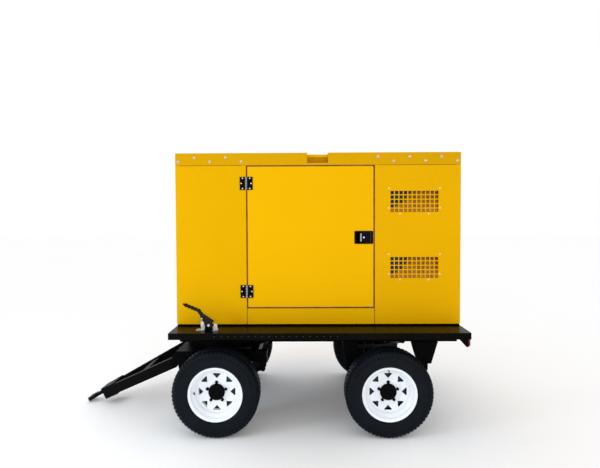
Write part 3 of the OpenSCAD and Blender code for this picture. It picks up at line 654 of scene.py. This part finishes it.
def valve_mesh():
    profile = [(0.0, 0.036), (0.0030, 0.036), (0.0042, 0.034), (0.0042, 0.024), (0.0032, 0.023),
               (0.0032, 0.010), (0.0052, 0.006), (0.0060, 0.0)]
    return lathe_mesh("valve", profile, steps=20, closed=False)


def nut_mesh():
    """Wheel nut: hexagon with a domed end."""
    hexagon = [polar(0.0105, 60 * k) for k in range(6)]
    body = plate_mesh("nut", [rounded_polygon(hexagon, 0.001, 2)], 0.014, 0.0012)
    dome = lathe_mesh("dome", [(0.0, 0.0165), (0.0035, 0.0160), (0.0062, 0.0140), (0.0075, 0.0120)],
                      steps=24, closed=False)
    return join_meshes("wheel_nut", [(body, shift(0, 0, 0.007)), (dome, Matrix())])


def drum_mesh():
    """Finned brake drum behind the disc of a wheel."""
    profile = [(0.060, -0.013), (0.118, -0.013), (0.128, -0.016), (0.131, -0.021)]
    for k in range(5):
        z = -0.024 - 0.008 * k
        profile += [(0.135, z), (0.135, z - 0.003), (0.131, z - 0.004), (0.131, z - 0.007)]
    profile += [(0.128, -0.066), (0.060, -0.068)]
    mesh = lathe_mesh("drum", profile, steps=64)
    mesh.set_sharp_from_angle(angle=math.radians(35))
    return mesh


def shield_mesh():
    """Dished backing plate of a rear brake, with a rolled edge."""
    return lathe_mesh("shield", [(0.050, -0.0790), (0.120, -0.0790), (0.140, -0.0775), (0.189, -0.0775),
                                 (0.192, -0.0790), (0.189, -0.0810), (0.120, -0.0835), (0.050, -0.0835)],
                      steps=72)


def make_wheels():
    """Four wheels, alike but for the valve's angle and the rear ones' backing plates."""
    low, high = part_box("tyre_front_near")
    radius = (high[0] - low[0]) / 2
    tyre = tyre_mesh(radius, high[1] - low[1])
    rim, cap, valve, drum, shield = rim_mesh(), hub_cap_mesh(), valve_mesh(), drum_mesh(), shield_mesh()
    nut = nut_mesh()
    nuts = join_meshes("nuts", [(nut, shift(*polar(STUD_CIRCLE_R, stud_angle(k)), 0.0065))
                                for k in range(STUDS)])
    for wheel in WHEELS:
        place = wheel_place(wheel)
        body = "wheel_" + wheel
        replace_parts(link("tyre_tread_" + wheel, tyre, body, "tyre_rubber", place),
                    "tyre_" + wheel)
        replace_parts(link("rim_" + wheel + "_pressed", rim, body, "rim_white", place),
                    "rim_" + wheel)
        link("brake_drum_" + wheel, drum, body, "radiator_black", place)
        if "rear" in wheel:
            link("brake_shield_" + wheel, shield, "chassis", "chassis_black", place)
        link("hub_cap_" + wheel, cap, body, "black_fittings", place)
        link("wheel_nuts_" + wheel, nuts, body, "black_fittings", place)
        turn = 180 if "front" in wheel else 90
        at = Matrix.Rotation(math.radians(turn), 4, "Z") @ shift(0.160, 0, 0.030)
        lean = Matrix.Rotation(math.radians(-25), 4, "Y")
        link("valve_" + wheel, valve, body, "grip_rubber", place @ at @ lean)


# ---------------------------------------------------------------- canopy details

LEAF_FACE = 0.464


def joint_place(name):
    """Where a joint's axis stands, in metres."""
    return Vector(next(j["pos_m"] for j in frame["joints"] if j["name"] == name))


def side_matrix(side, x, y, z):
    """A place on a canopy side where a piece's own +Z points out of the panel and +Y points up."""
    if side < 0:
        return shift(x, y, z) @ Matrix.Rotation(math.radians(90), 4, "X")
    return shift(x, y, z) @ Matrix.Rotation(math.radians(-90), 4, "X") @ \
        Matrix.Rotation(math.pi, 4, "Z")


def dome_head_mesh(r, h, washer=True):
    """Low dome head with a round recess and, if asked, a pressed washer under it."""
    profile = [(0.0, h * 0.72), (r * 0.22, h * 0.74), (r * 0.26, h * 0.98), (r * 0.55, h * 0.86),
               (r * 0.80, h * 0.55), (r * 0.90, h * 0.2)]
    if washer:
        profile += [(r * 0.92, h * 0.16), (r * 1.18, h * 0.12), (r * 1.22, 0.0)]
    else:
        profile += [(r * 0.92, 0.0)]
    return lathe_mesh("dome_head", profile, steps=24, closed=False)


def make_canopy_screws():
    """Large bright domes along the roof flange, small painted ones round the grilles."""
    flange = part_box("roof_cover")[0][2]
    kinds = {"roof": (dome_head_mesh(0.0088, 0.0092), "zinc"),
             "grille": (dome_head_mesh(0.0055, 0.0036), "pale_screw")}
    found = {"roof": [], "grille": []}
    for low, high in islands("canopy_screws"):
        side = -1 if low.y < 0 else 1
        face = high.y if side < 0 else low.y
        kind = "roof" if low.z > flange else "grille"
        place = side_matrix(side, (low.x + high.x) / 2, face, (low.z + high.z) / 2)
        found[kind].append((kinds[kind][0], place))
    heads = [link(kind + "_screw_heads", join_meshes(kind + "_screws", found[kind]), "chassis", mat)
             for kind, (_, mat) in kinds.items()]
    for head in heads:
        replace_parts(head, "canopy_screws")


def rectangle(w, h, r):
    return rounded_polygon([(-w / 2, -h / 2), (w / 2, -h / 2), (w / 2, h / 2), (-w / 2, h / 2)], r)


def make_door_gap_shade_strips():
    """A brown strip round the edge of each door: painted shade that stands in for the shadowed gap there."""
    for name, side in (("near", -1), ("far", 1)):
        low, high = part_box(name + "_door")
        w, h = high[0] - low[0], high[2] - low[2]
        mesh = plate_mesh("gap_shade", [rectangle(w, h, 0.004), rectangle(w - 0.014, h - 0.014, 0.008)],
                          0.0016, 0.0006)
        face = low[1] if side < 0 else high[1]
        place = side_matrix(side, (low[0] + high[0]) / 2, face, (low[2] + high[2]) / 2)
        link(name + "_door_gap_shade_strip", mesh, name + "_door", "gap_shade", place)


def make_hinge_details():
    """Bright screws in each hinge leaf and grey knuckles round its pin, whose grey is a painted reflection of
    light on the barrel.
    """
    head = dome_head_mesh(0.0068, 0.0036, washer=False)
    knuckle = lathe_mesh("knuckle", [(0.0064, 0.0), (0.0074, 0.0008), (0.0074, 0.0172), (0.0064, 0.018)],
                         steps=28, closed=False)
    owners = {"hinge_fixed_leaves": "chassis", "near_door_fittings": "near_door",
              "far_door_fittings": "far_door"}
    axis = {side: joint_place(name + "_door_hinge") for name, side in (("near", -1), ("far", 1))}
    levels = [(low.z + high.z) / 2 for low, high in islands("hinge_fixed_leaves") if low.y < 0]
    for node, body in owners.items():
        fixed = node == "hinge_fixed_leaves"
        sides = [-1, 1] if fixed else [-1 if body == "near_door" else 1]
        screws, rings = [], []
        for side in sides:
            pin = axis[side]
            for z in levels:
                for out, up in ((0.027, 0.038), (0.027, -0.038), (0.037, 0.0)):
                    x = pin.x + (-out if fixed else out)
                    screws.append((head, side_matrix(side, x, LEAF_FACE * side, z + up)))
                for k in range(0 if fixed else 1, 5, 2):
                    rings.append((knuckle, shift(pin.x, pin.y, z - 0.0474 + 0.0192 * k)))
        link(node + "_screws", join_meshes("hinge_screws", screws), body, "zinc")
        # painted reflection: grey steel knuckles stand in for the light the hinge barrel reflects
        link(node + "_knuckles", join_meshes("hinge_knuckles", rings), body, "barrel_steel")


def make_latch_details():
    """Grey pull edge, whose pale tone is partly a painted highlight on the paddle's lit edge, and key barrel on
    each latch paddle.
    """
    edge = plate_mesh("pull_edge_and_highlight", [rectangle(0.011, 0.062, 0.003)], 0.003, 0.0012)
    key = lathe_mesh("key_barrel", [(0.0, 0.0022), (0.0016, 0.0022), (0.0018, 0.0036), (0.0060, 0.0036),
                                    (0.0072, 0.0026), (0.0074, 0.0)], steps=28, closed=False)
    for name, side in (("near", -1), ("far", 1)):
        low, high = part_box(name + "_latch_paddle")
        face = low[1] if side < 0 else high[1]
        z = (low[2] + high[2]) / 2
        pull = side_matrix(side, low[0] + 0.0065, face + side * -0.0006, z)
        # partly painted highlight: the grey strip is a pull edge and also stands in for the light on the paddle's
        # edge
        link(name + "_latch_pull_edge_and_highlight", edge, name + "_latch", "barrel_steel", pull)
        barrel = side_matrix(side, low[0] + 0.028, face, z)
        link(name + "_latch_key", key, name + "_latch", "zinc", barrel)


def sheet_piece(name, corners, mat):
    """A thin flat sheet inside the canopy, from its corners in order."""
    mesh = bpy.data.meshes.new(name)
    mesh.from_pydata(corners, [], [tuple(range(len(corners)))])
    obj = link(name, mesh, "chassis", mat, smooth=False)
    obj.modifiers.new("sheet", "SOLIDIFY").thickness = 0.002


def make_baffles():
    """A sloping board behind each grille, with a lid, two cheeks and a dark foam sheet; the front cheek's dark
    foam is painted shade, and the sheet is a painted shadow over the grille's front columns.
    """
    for number, (low, high) in enumerate(islands("vent_grilles")):
        side = -1 if low.y < 0 else 1
        x0, x1 = low.x + 0.006, high.x - 0.006
        z0, z1 = low.z + 0.004, high.z - 0.004
        front = (high.y if side < 0 else low.y) - side * 0.003
        deep = front - side * 0.075
        board = [(x0, front, z0), (x1, front, z0), (x1, deep, z1), (x0, deep, z1)]
        sheet_piece(f"vent_board_{number}", board, "baffle")
        lid = [(x0, front, z1), (x1, front, z1), (x1, deep, z1), (x0, deep, z1)]
        sheet_piece(f"vent_lid_{number}", lid, "foam")
        # painted shade: the front cheek is dark foam and the rear one is board colour
        for end, x, mat in (("front", x0, "foam"), ("rear", x1, "baffle")):
            cheek = [(x, front, z0), (x, deep, z1), (x, front, z1)]
            sheet_piece(f"vent_cheek_{end}_{number}", cheek, mat)
        # painted shadow: a dark foam sheet behind the grille's front columns, cut to the outline of a diagonal
        # shadow
        w, h, y = x1 - x0, z1 - z0, front - side * 0.014
        shade_sheet = [(x0, y, z0 + 0.10 * h), (x0 + 0.29 * w, y - side * 0.02, z0 + 0.36 * h),
                (x0 + 0.43 * w, y - side * 0.02, z1), (x0, y, z1)]
        sheet_piece(f"vent_shadow_sheet_{number}", shade_sheet, "foam")


def facing_rear(x, y, z):
    """A place whose own +Z points to the rear, +Y up."""
    return Matrix(((0, 0, 1, x), (1, 0, 0, y), (0, 1, 0, z), (0, 0, 0, 1)))


def ring_mesh(r, width, thick=0.0015):
    """A clamp band round a pipe along its own Z."""
    half = width / 2
    profile = [(r, -half), (r + thick, -half * 0.8), (r + thick, half * 0.8), (r, half)]
    return lathe_mesh("band", profile, steps=48)


def button_mesh(r, h):
    return lathe_mesh("button", [(0.0, h), (r * 0.7, h), (r * 0.92, h * 0.85), (r, h * 0.5), (r, 0.0)],
                      steps=28, closed=False)


def chassis_group(name, parts, mat):
    return link(name, join_meshes(name, parts), "chassis", mat)


def make_display(face, y, z):
    """Control unit: framed glass with a row of keys under it."""
    unit = facing_rear(face + 0.0075, y, z)
    frame_outline = rectangle(0.190, 0.112, 0.006)
    window = [(px, py + 0.012) for px, py in rectangle(0.126, 0.066, 0.004)]
    link("display_frame", plate_mesh("display_frame", [frame_outline, window], 0.004, 0.0012), "chassis",
         "radiator_black", unit)
    glass = plate_mesh("display_glass", [[(px, py + 0.012) for px, py in rectangle(0.125, 0.065, 0.003)]],
                       0.002, 0.0004)
    link("display_glass", glass, "chassis", "glass", unit)
    keys = [(button_mesh(0.0072, 0.0035), facing_rear(face + 0.0095, y - 0.06 + 0.024 * k, z - 0.040))
            for k in range(6)]
    chassis_group("display_keys", keys, "barrel_steel")


def make_sockets(face, z):
    """Four power outlets with sprung lids on square flanges."""
    flange = plate_mesh("flange", [rectangle(0.084, 0.084, 0.008), circle(0.030)], 0.004, 0.001)
    lid = lathe_mesh("lid", [(0.0, 0.0125), (0.018, 0.0125), (0.020, 0.010), (0.027, 0.010), (0.031, 0.0075),
                             (0.032, 0.0)], steps=48, closed=False)
    screw = dome_head_mesh(0.0035, 0.0022, washer=False)
    flanges, screws = [], []
    for number, y in enumerate((-0.165, -0.065, 0.035, 0.135)):
        flanges.append((flange, facing_rear(face + 0.0135, y, z)))
        screws += [(screw, facing_rear(face + 0.0155, y + 0.034 * i, z + 0.034 * j))
                   for i in (-1, 1) for j in (-1, 1)]
        mat = ("red_cap", "blue_cap", "blue_cap", "amber")[number]
        link(f"socket_lid_{number}", lid.copy(), "chassis", mat,
             facing_rear(face + 0.013, y, z))
    chassis_group("socket_flanges", flanges, "radiator_black")
    chassis_group("socket_screws", screws, "zinc")


SWITCH_Y, STOP_Z, KEY_Z = 0.13, 1.76, 1.69
DISPLAY_Y, DISPLAY_Z = -0.08, 1.75
SOCKET_Z = 1.56


def make_control_panel():
    """What the operator sees in the recess at the rear."""
    low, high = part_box("control_panel")
    face = high[0] - 0.012
    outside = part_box("rear_end_panel")[1][0]
    middle = (low[2] + high[2]) / 2
    trim = plate_mesh("trim", [rectangle(0.508, 0.368, 0.014), rectangle(0.484, 0.344, 0.010)], 0.004, 0.0016)
    link("panel_trim", trim, "chassis", "grip_rubber", facing_rear(outside + 0.001, 0, middle))
    make_display(face, DISPLAY_Y, DISPLAY_Z)
    make_sockets(face, SOCKET_Z)
    stop = lathe_mesh("stop", [(0.0, 0.016), (0.012, 0.0155), (0.0185, 0.013), (0.020, 0.009), (0.018, 0.006),
                               (0.012, 0.004), (0.011, 0.0)], steps=40, closed=False)
    link("emergency_stop", stop, "chassis", "red_cap",
         facing_rear(face + 0.012, SWITCH_Y, STOP_Z))
    ring = plate_mesh("stop_ring", [circle(0.036), circle(0.0235)], 0.002, 0.0005)
    link("stop_ring", ring, "chassis", "canopy_yellow",
         facing_rear(face + 0.0012, SWITCH_Y, STOP_Z))
    barrel = lathe_mesh("barrel", [(0.0, 0.002), (0.0035, 0.002), (0.004, 0.0045), (0.0125, 0.0045),
                                   (0.0138, 0.003), (0.014, 0.0)], steps=32, closed=False)
    link("key_switch", barrel, "chassis", "zinc", facing_rear(face + 0.008, SWITCH_Y, KEY_Z))
    for number, (mat, z) in enumerate((("lamp_red", 1.80), ("amber", 1.765), ("glass", 1.73))):
        lamp = button_mesh(0.0075, 0.006)
        link(f"warning_lamp_{number}", lamp, "chassis", mat, facing_rear(face, 0.205, z))
    screw = dome_head_mesh(0.005, 0.003)
    corners = [(screw, facing_rear(face, y, z)) for y in (-0.232, 0.232) for z in (1.498, 1.822)]
    chassis_group("panel_screws", corners, "zinc")


CRANK_Z, CRANK_R = 1.080, 0.085
PUMP_Z, PUMP_R = 1.250, 0.040
BELT_X = -0.392
FILTER_Y, FILTER_Z, FILTER_R = -0.230, 1.640, 0.090
BATTERY = (-0.12, -0.352)


def belt_outline(grow):
    """Outline of the belt round the crank pulley and the pump pulley above it."""
    lean = math.asin((CRANK_R - PUMP_R) / (PUMP_Z - CRANK_Z))
    arcs = ((PUMP_Z, PUMP_R, lean, math.pi - lean), (CRANK_Z, CRANK_R, math.pi - lean, 2 * math.pi + lean))
    out = []
    for centre, r, start, end in arcs:
        for k in range(25):
            a = start + (end - start) * k / 24
            out.append(((r + grow) * math.cos(a), centre + (r + grow) * math.sin(a)))
    return out


def make_engine_front():
    """Fan belt and radiator hoses."""
    belt = plate_mesh("belt", [belt_outline(0.004), belt_outline(-0.004)], 0.011, 0.002)
    link("fan_belt", belt, "chassis", "belt", facing_rear(BELT_X, 0, 0))
    top = tube_mesh("top_hose", [(-0.424, 0.215, 1.51), (-0.395, 0.212, 1.50), (-0.372, 0.198, 1.43),
                                 (-0.350, 0.187, 1.392), (-0.336, 0.185, 1.39)], 0.022)
    link("top_hose", top, "chassis", "belt")
    low = tube_mesh("low_hose", [(-0.424, -0.262, 0.90), (-0.36, -0.262, 0.895), (-0.30, -0.24, 0.91),
                                 (-0.27, -0.20, 0.93), (-0.262, -0.16, 0.955)], 0.020)
    link("low_hose", low, "chassis", "belt")
    bands = [(ring_mesh(0.022, 0.012), facing_rear(-0.412, 0.2145, 1.507)),
             (ring_mesh(0.020, 0.012), facing_rear(-0.408, -0.262, 0.899))]
    chassis_group("hose_clamps", bands, "zinc")


def make_engine_top():
    """Rocker cover bolts, filler cap, injection pump, its pipes and the air filter's bands."""
    bolt = button_mesh(0.008, 0.008)
    bolts = [(bolt, shift(-0.325 + 0.108 * k, side * 0.078, 1.499))
             for k in range(6) for side in (-1, 1)]
    chassis_group("rocker_cover_bolts", bolts, "zinc")
    cap = lathe_mesh("filler", [(0.0, 0.024), (0.022, 0.024), (0.026, 0.020), (0.026, 0.006), (0.020, 0.0)],
                     steps=16, closed=False)
    link("oil_filler_cap", cap, "chassis", "amber", shift(0.12, 0, 1.5))
    pump_y, pump_z = -0.232, 1.16
    body = lathe_mesh("pump", [(0.0, 0.21), (0.030, 0.21), (0.036, 0.20), (0.036, 0.15), (0.043, 0.145),
                               (0.043, 0.02), (0.036, 0.0), (0.0, 0.0)], steps=32, closed=False)
    link("injection_pump", body, "chassis", "barrel_steel",
         facing_rear(-0.12, pump_y, pump_z - 0.02))
    for k in range(4):
        x = -0.25 + 0.135 * k
        foot = (-0.09 + 0.042 * k, pump_y, pump_z + 0.02)
        pipe = tube_mesh("injector_pipe", [foot, (foot[0], pump_y - 0.018, 1.26), (x, -0.236, 1.33),
                                           (x, -0.20, 1.46), (x, -0.13, 1.475), (x, -0.088, 1.462)], 0.0035)
        link(f"injector_pipe_{k}", pipe, "chassis", "barrel_steel")
    band = ring_mesh(FILTER_R, 0.016)
    bands = [(band, facing_rear(x, FILTER_Y, FILTER_Z)) for x in (-0.08, 0.19)]
    chassis_group("air_filter_bands", bands, "zinc")
    rib = ring_mesh(FILTER_R, 0.006, 0.004)
    ribs = [(rib, facing_rear(-0.03 + 0.022 * k, FILTER_Y, FILTER_Z)) for k in range(9)]
    chassis_group("air_filter_ribs", ribs, "radiator_black")


def make_oil_filter():
    """Rolled seams at both ends of the spin-on filter."""
    parts = [(ring_mesh(0.045, 0.008, 0.003), facing_rear(-0.148, -0.215, 1.10)),
             (ring_mesh(0.045, 0.004, 0.002), facing_rear(-0.252, -0.215, 1.10))]
    chassis_group("oil_filter_seams", parts, "red_cap")


def make_battery():
    """Starter battery with a lid, vent caps, posts and a hold-down strap."""
    case = plate_mesh("case", [rectangle(0.236, 0.116, 0.008)], 0.150, 0.003)
    lid = plate_mesh("lid", [rectangle(0.240, 0.120, 0.008)], 0.030, 0.004)
    link("battery_case", case, "chassis", "tank_black", shift(*BATTERY, 0.8405))
    link("battery_lid", lid, "chassis", "panel_grey", shift(*BATTERY, 0.931))
    cap = button_mesh(0.010, 0.006)
    caps = [(cap, shift(BATTERY[0] - 0.075 + 0.03 * k, BATTERY[1] + 0.02, 0.9455))
            for k in range(6)]
    chassis_group("battery_caps", caps, "amber")
    post = lathe_mesh("post", [(0.0, 0.018), (0.007, 0.018), (0.008, 0.016), (0.009, 0.0)], steps=24,
                      closed=False)
    clamp = plate_mesh("clamp", [rounded_polygon([(-0.016, -0.013), (0.034, -0.009), (0.034, 0.009),
                                                  (-0.016, 0.013)], 0.004), circle(0.0088)], 0.010, 0.002)
    ends = [(BATTERY[0] + x, BATTERY[1] - 0.03) for x in (-0.085, 0.085)]
    posts = [(post, shift(*end, 0.9455)) for end in ends]
    clamps = [(clamp, shift(*end, 0.955)) for end in ends]
    chassis_group("battery_posts", posts, "barrel_steel")
    chassis_group("battery_clamps", clamps, "brass")
    hold = plate_mesh("hold_down", [rectangle(0.024, 0.150, 0.003)], 0.003, 0.0008)
    link("battery_strap", hold, "chassis", "zinc", shift(*BATTERY, 0.948))


def make_alternator_details():
    """Cooling fins, air slots in the end bell, terminal box lids, their screws and the cable."""
    fin = plate_mesh("fin", [rectangle(0.46, 0.009, 0.002)], 0.005, 0.001)
    fins = []
    for degrees in range(-60, 61, 8):
        for mid in (90, -90):
            spin = Matrix.Rotation(math.radians(degrees + mid), 4, "X")
            fins.append((fin, shift(0.60, 0, CRANK_Z) @ spin
                         @ shift(0, 0, 0.230) @ Matrix.Rotation(math.radians(90), 4, "X")))
    chassis_group("alternator_fins", fins, "alternator_blue")
    lid = plate_mesh("terminal_lid", [rectangle(0.36, 0.13, 0.010)], 0.004, 0.0015)
    screw = dome_head_mesh(0.006, 0.004)
    lids, screws = [], []
    for side in (-1, 1):
        lids.append((lid, side_matrix(side, 0.66, side * 0.172, 1.375)))
        screws += [(screw, side_matrix(side, 0.66 + 0.165 * i, side * 0.174, 1.375 + 0.05 * j))
                   for i in (-1, 1) for j in (-1, 1)]
    chassis_group("terminal_lids", lids, "alternator_blue")
    chassis_group("terminal_screws", screws, "zinc")
    slot = plate_mesh("bell_slot", [rectangle(0.012, 0.075, 0.004)], 0.003, 0.001)
    slots = [(slot, facing_rear(0.9612, 0, CRANK_Z) @ Matrix.Rotation(math.radians(20 * k), 4, "Z")
              @ shift(0, 0.125, 0)) for k in range(18)]
    chassis_group("bell_slots", slots, "radiator_black")
    cable = tube_mesh("cable", [(0.80, -0.10, 1.455), (0.82, -0.11, 1.52), (1.00, -0.16, 1.56),
                                (1.25, -0.18, 1.60), (1.378, -0.18, 1.60)], 0.014)
    link("power_cable", cable, "chassis", "belt")


def make_lever_details():
    """Guard plate and pin of the parking-brake lever."""
    pivot = joint_place("brake_lever_pivot")
    outline = rounded_polygon([(-0.030, -0.0355), (0.030, -0.0355), (0.030, -0.020), (0.024, -0.0125),
                               (-0.026, -0.0125)], 0.001)
    guard = plate_mesh("guard", [outline], 0.003, 0.0006)
    link("lever_guard", guard, "chassis", "chassis_black",
         side_matrix(-1, pivot.x, pivot.y - 0.012, pivot.z))
    pin = lathe_mesh("pin", [(0.0, 0.004), (0.004, 0.004), (0.0062, 0.002), (0.0066, 0.0)], steps=24,
                     closed=False)
    at_pin = side_matrix(-1, pivot.x - 0.048, pivot.y - 0.0125, pivot.z + 0.048)
    link("lever_pin", pin, "lever", "zinc", at_pin)


def make_skirt_rivets():
    """Row of small rivets that holds the plating to the deck's edge on both sides."""
    low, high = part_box("deck")
    z = low[2] + (high[2] - low[2]) * 0.5
    head = dome_head_mesh(0.0042, 0.0016, washer=False)
    rows = [(head, side_matrix(side, -0.28 + 0.048 * k, side * high[1], z))
            for side in (-1, 1) for k in range(19)]
    chassis_group("skirt_rivets", rows, "radiator_black")


def make_bogie_plate():
    """Closing plate in the front bay of the bogie frame, round the slewing ring's bore."""
    outline = [(-0.565, -0.355), (-0.310, -0.355), (-0.310, 0.355), (-0.565, 0.355)]
    plate = plate_mesh("bogie_plate", [outline, circle(0.070, -0.44, 0.0)], 0.003, 0.0006)
    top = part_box("bogie_frame")[1][2]
    link("bogie_plate", plate, "bogie", "chassis_black",
         shift(0, 0, top - 0.003))


def make_bogie_gussets():
    """Gusset plates in the front corners of the bogie frame."""
    outline = rounded_polygon([(-0.625, 0.505), (-0.605, 0.400), (-0.592, 0.388), (-0.566, 0.388),
                               (-0.545, 0.505)], 0.002)
    gusset = plate_mesh("gusset", [outline], 0.005, 0.001)
    for name, y in (("near", -0.4185), ("far", 0.4185)):
        place = shift(0, y, 0) @ Matrix.Rotation(math.radians(90), 4, "X")
        link("bogie_gusset_" + name, gusset, "bogie", "chassis_black", place)


def make_lamp_details():
    """A black bezel and a moulded reflector ring on each tail lamp."""
    for low, high in islands("tail_lamps"):
        y, z = (low.y + high.y) / 2, (low.z + high.z) / 2
        side = "near" if y < 0 else "far"
        bezel = plate_mesh("bezel", [rectangle(0.078, 0.052, 0.006), rectangle(0.062, 0.036, 0.004)],
                           0.004, 0.0012)
        link("lamp_bezel_" + side, bezel, "chassis", "black_fittings",
             facing_rear(high.x, y, z))
        ring = plate_mesh("ring", [circle(0.013), circle(0.0095)], 0.003, 0.001)
        link("lamp_ring_" + side, ring, "chassis", "lamp_red", facing_rear(high.x, y, z))


def make_foam():
    """Foam linings on the inside of each door, cut out round the latch."""
    for name, side in (("near", -1), ("far", 1)):
        low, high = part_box(name + "_door")
        x0, x1, z0, z1 = low[0] + 0.03, high[0] - 0.03, low[2] + 0.03, high[2] - 0.03
        mid_x, mid_z = (x0 + x1) / 2, (z0 + z1) / 2
        outline = rectangle(x1 - x0, z1 - z0, 0.02)
        latch_low, latch_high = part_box(name + "_latch_paddle")
        hx = (latch_low[0] + latch_high[0]) / 2 - mid_x
        hz = (latch_low[2] + latch_high[2]) / 2 - mid_z
        hole = [(px + hx, py + hz) for px, py in rectangle(0.18, 0.12, 0.01)]
        if side > 0:
            outline = outline[::-1]
        mesh = plate_mesh("foam", [outline, hole], 0.018, 0.004)
        place = shift(mid_x, side * 0.446, mid_z) @ Matrix.Rotation(math.radians(90), 4, "X")
        link(name + "_door_foam", mesh, name + "_door", "foam", place)


make_camera()
dress_cad_nodes()
make_wheels()
make_canopy_screws()
make_door_gap_shade_strips()
make_hinge_details()
make_latch_details()
make_baffles()
make_foam()
make_control_panel()
make_engine_front()
make_engine_top()
make_oil_filter()
make_battery()
make_alternator_details()
make_lever_details()
make_skirt_rivets()
make_bogie_plate()
make_bogie_gussets()
make_lamp_details()
make_studio()
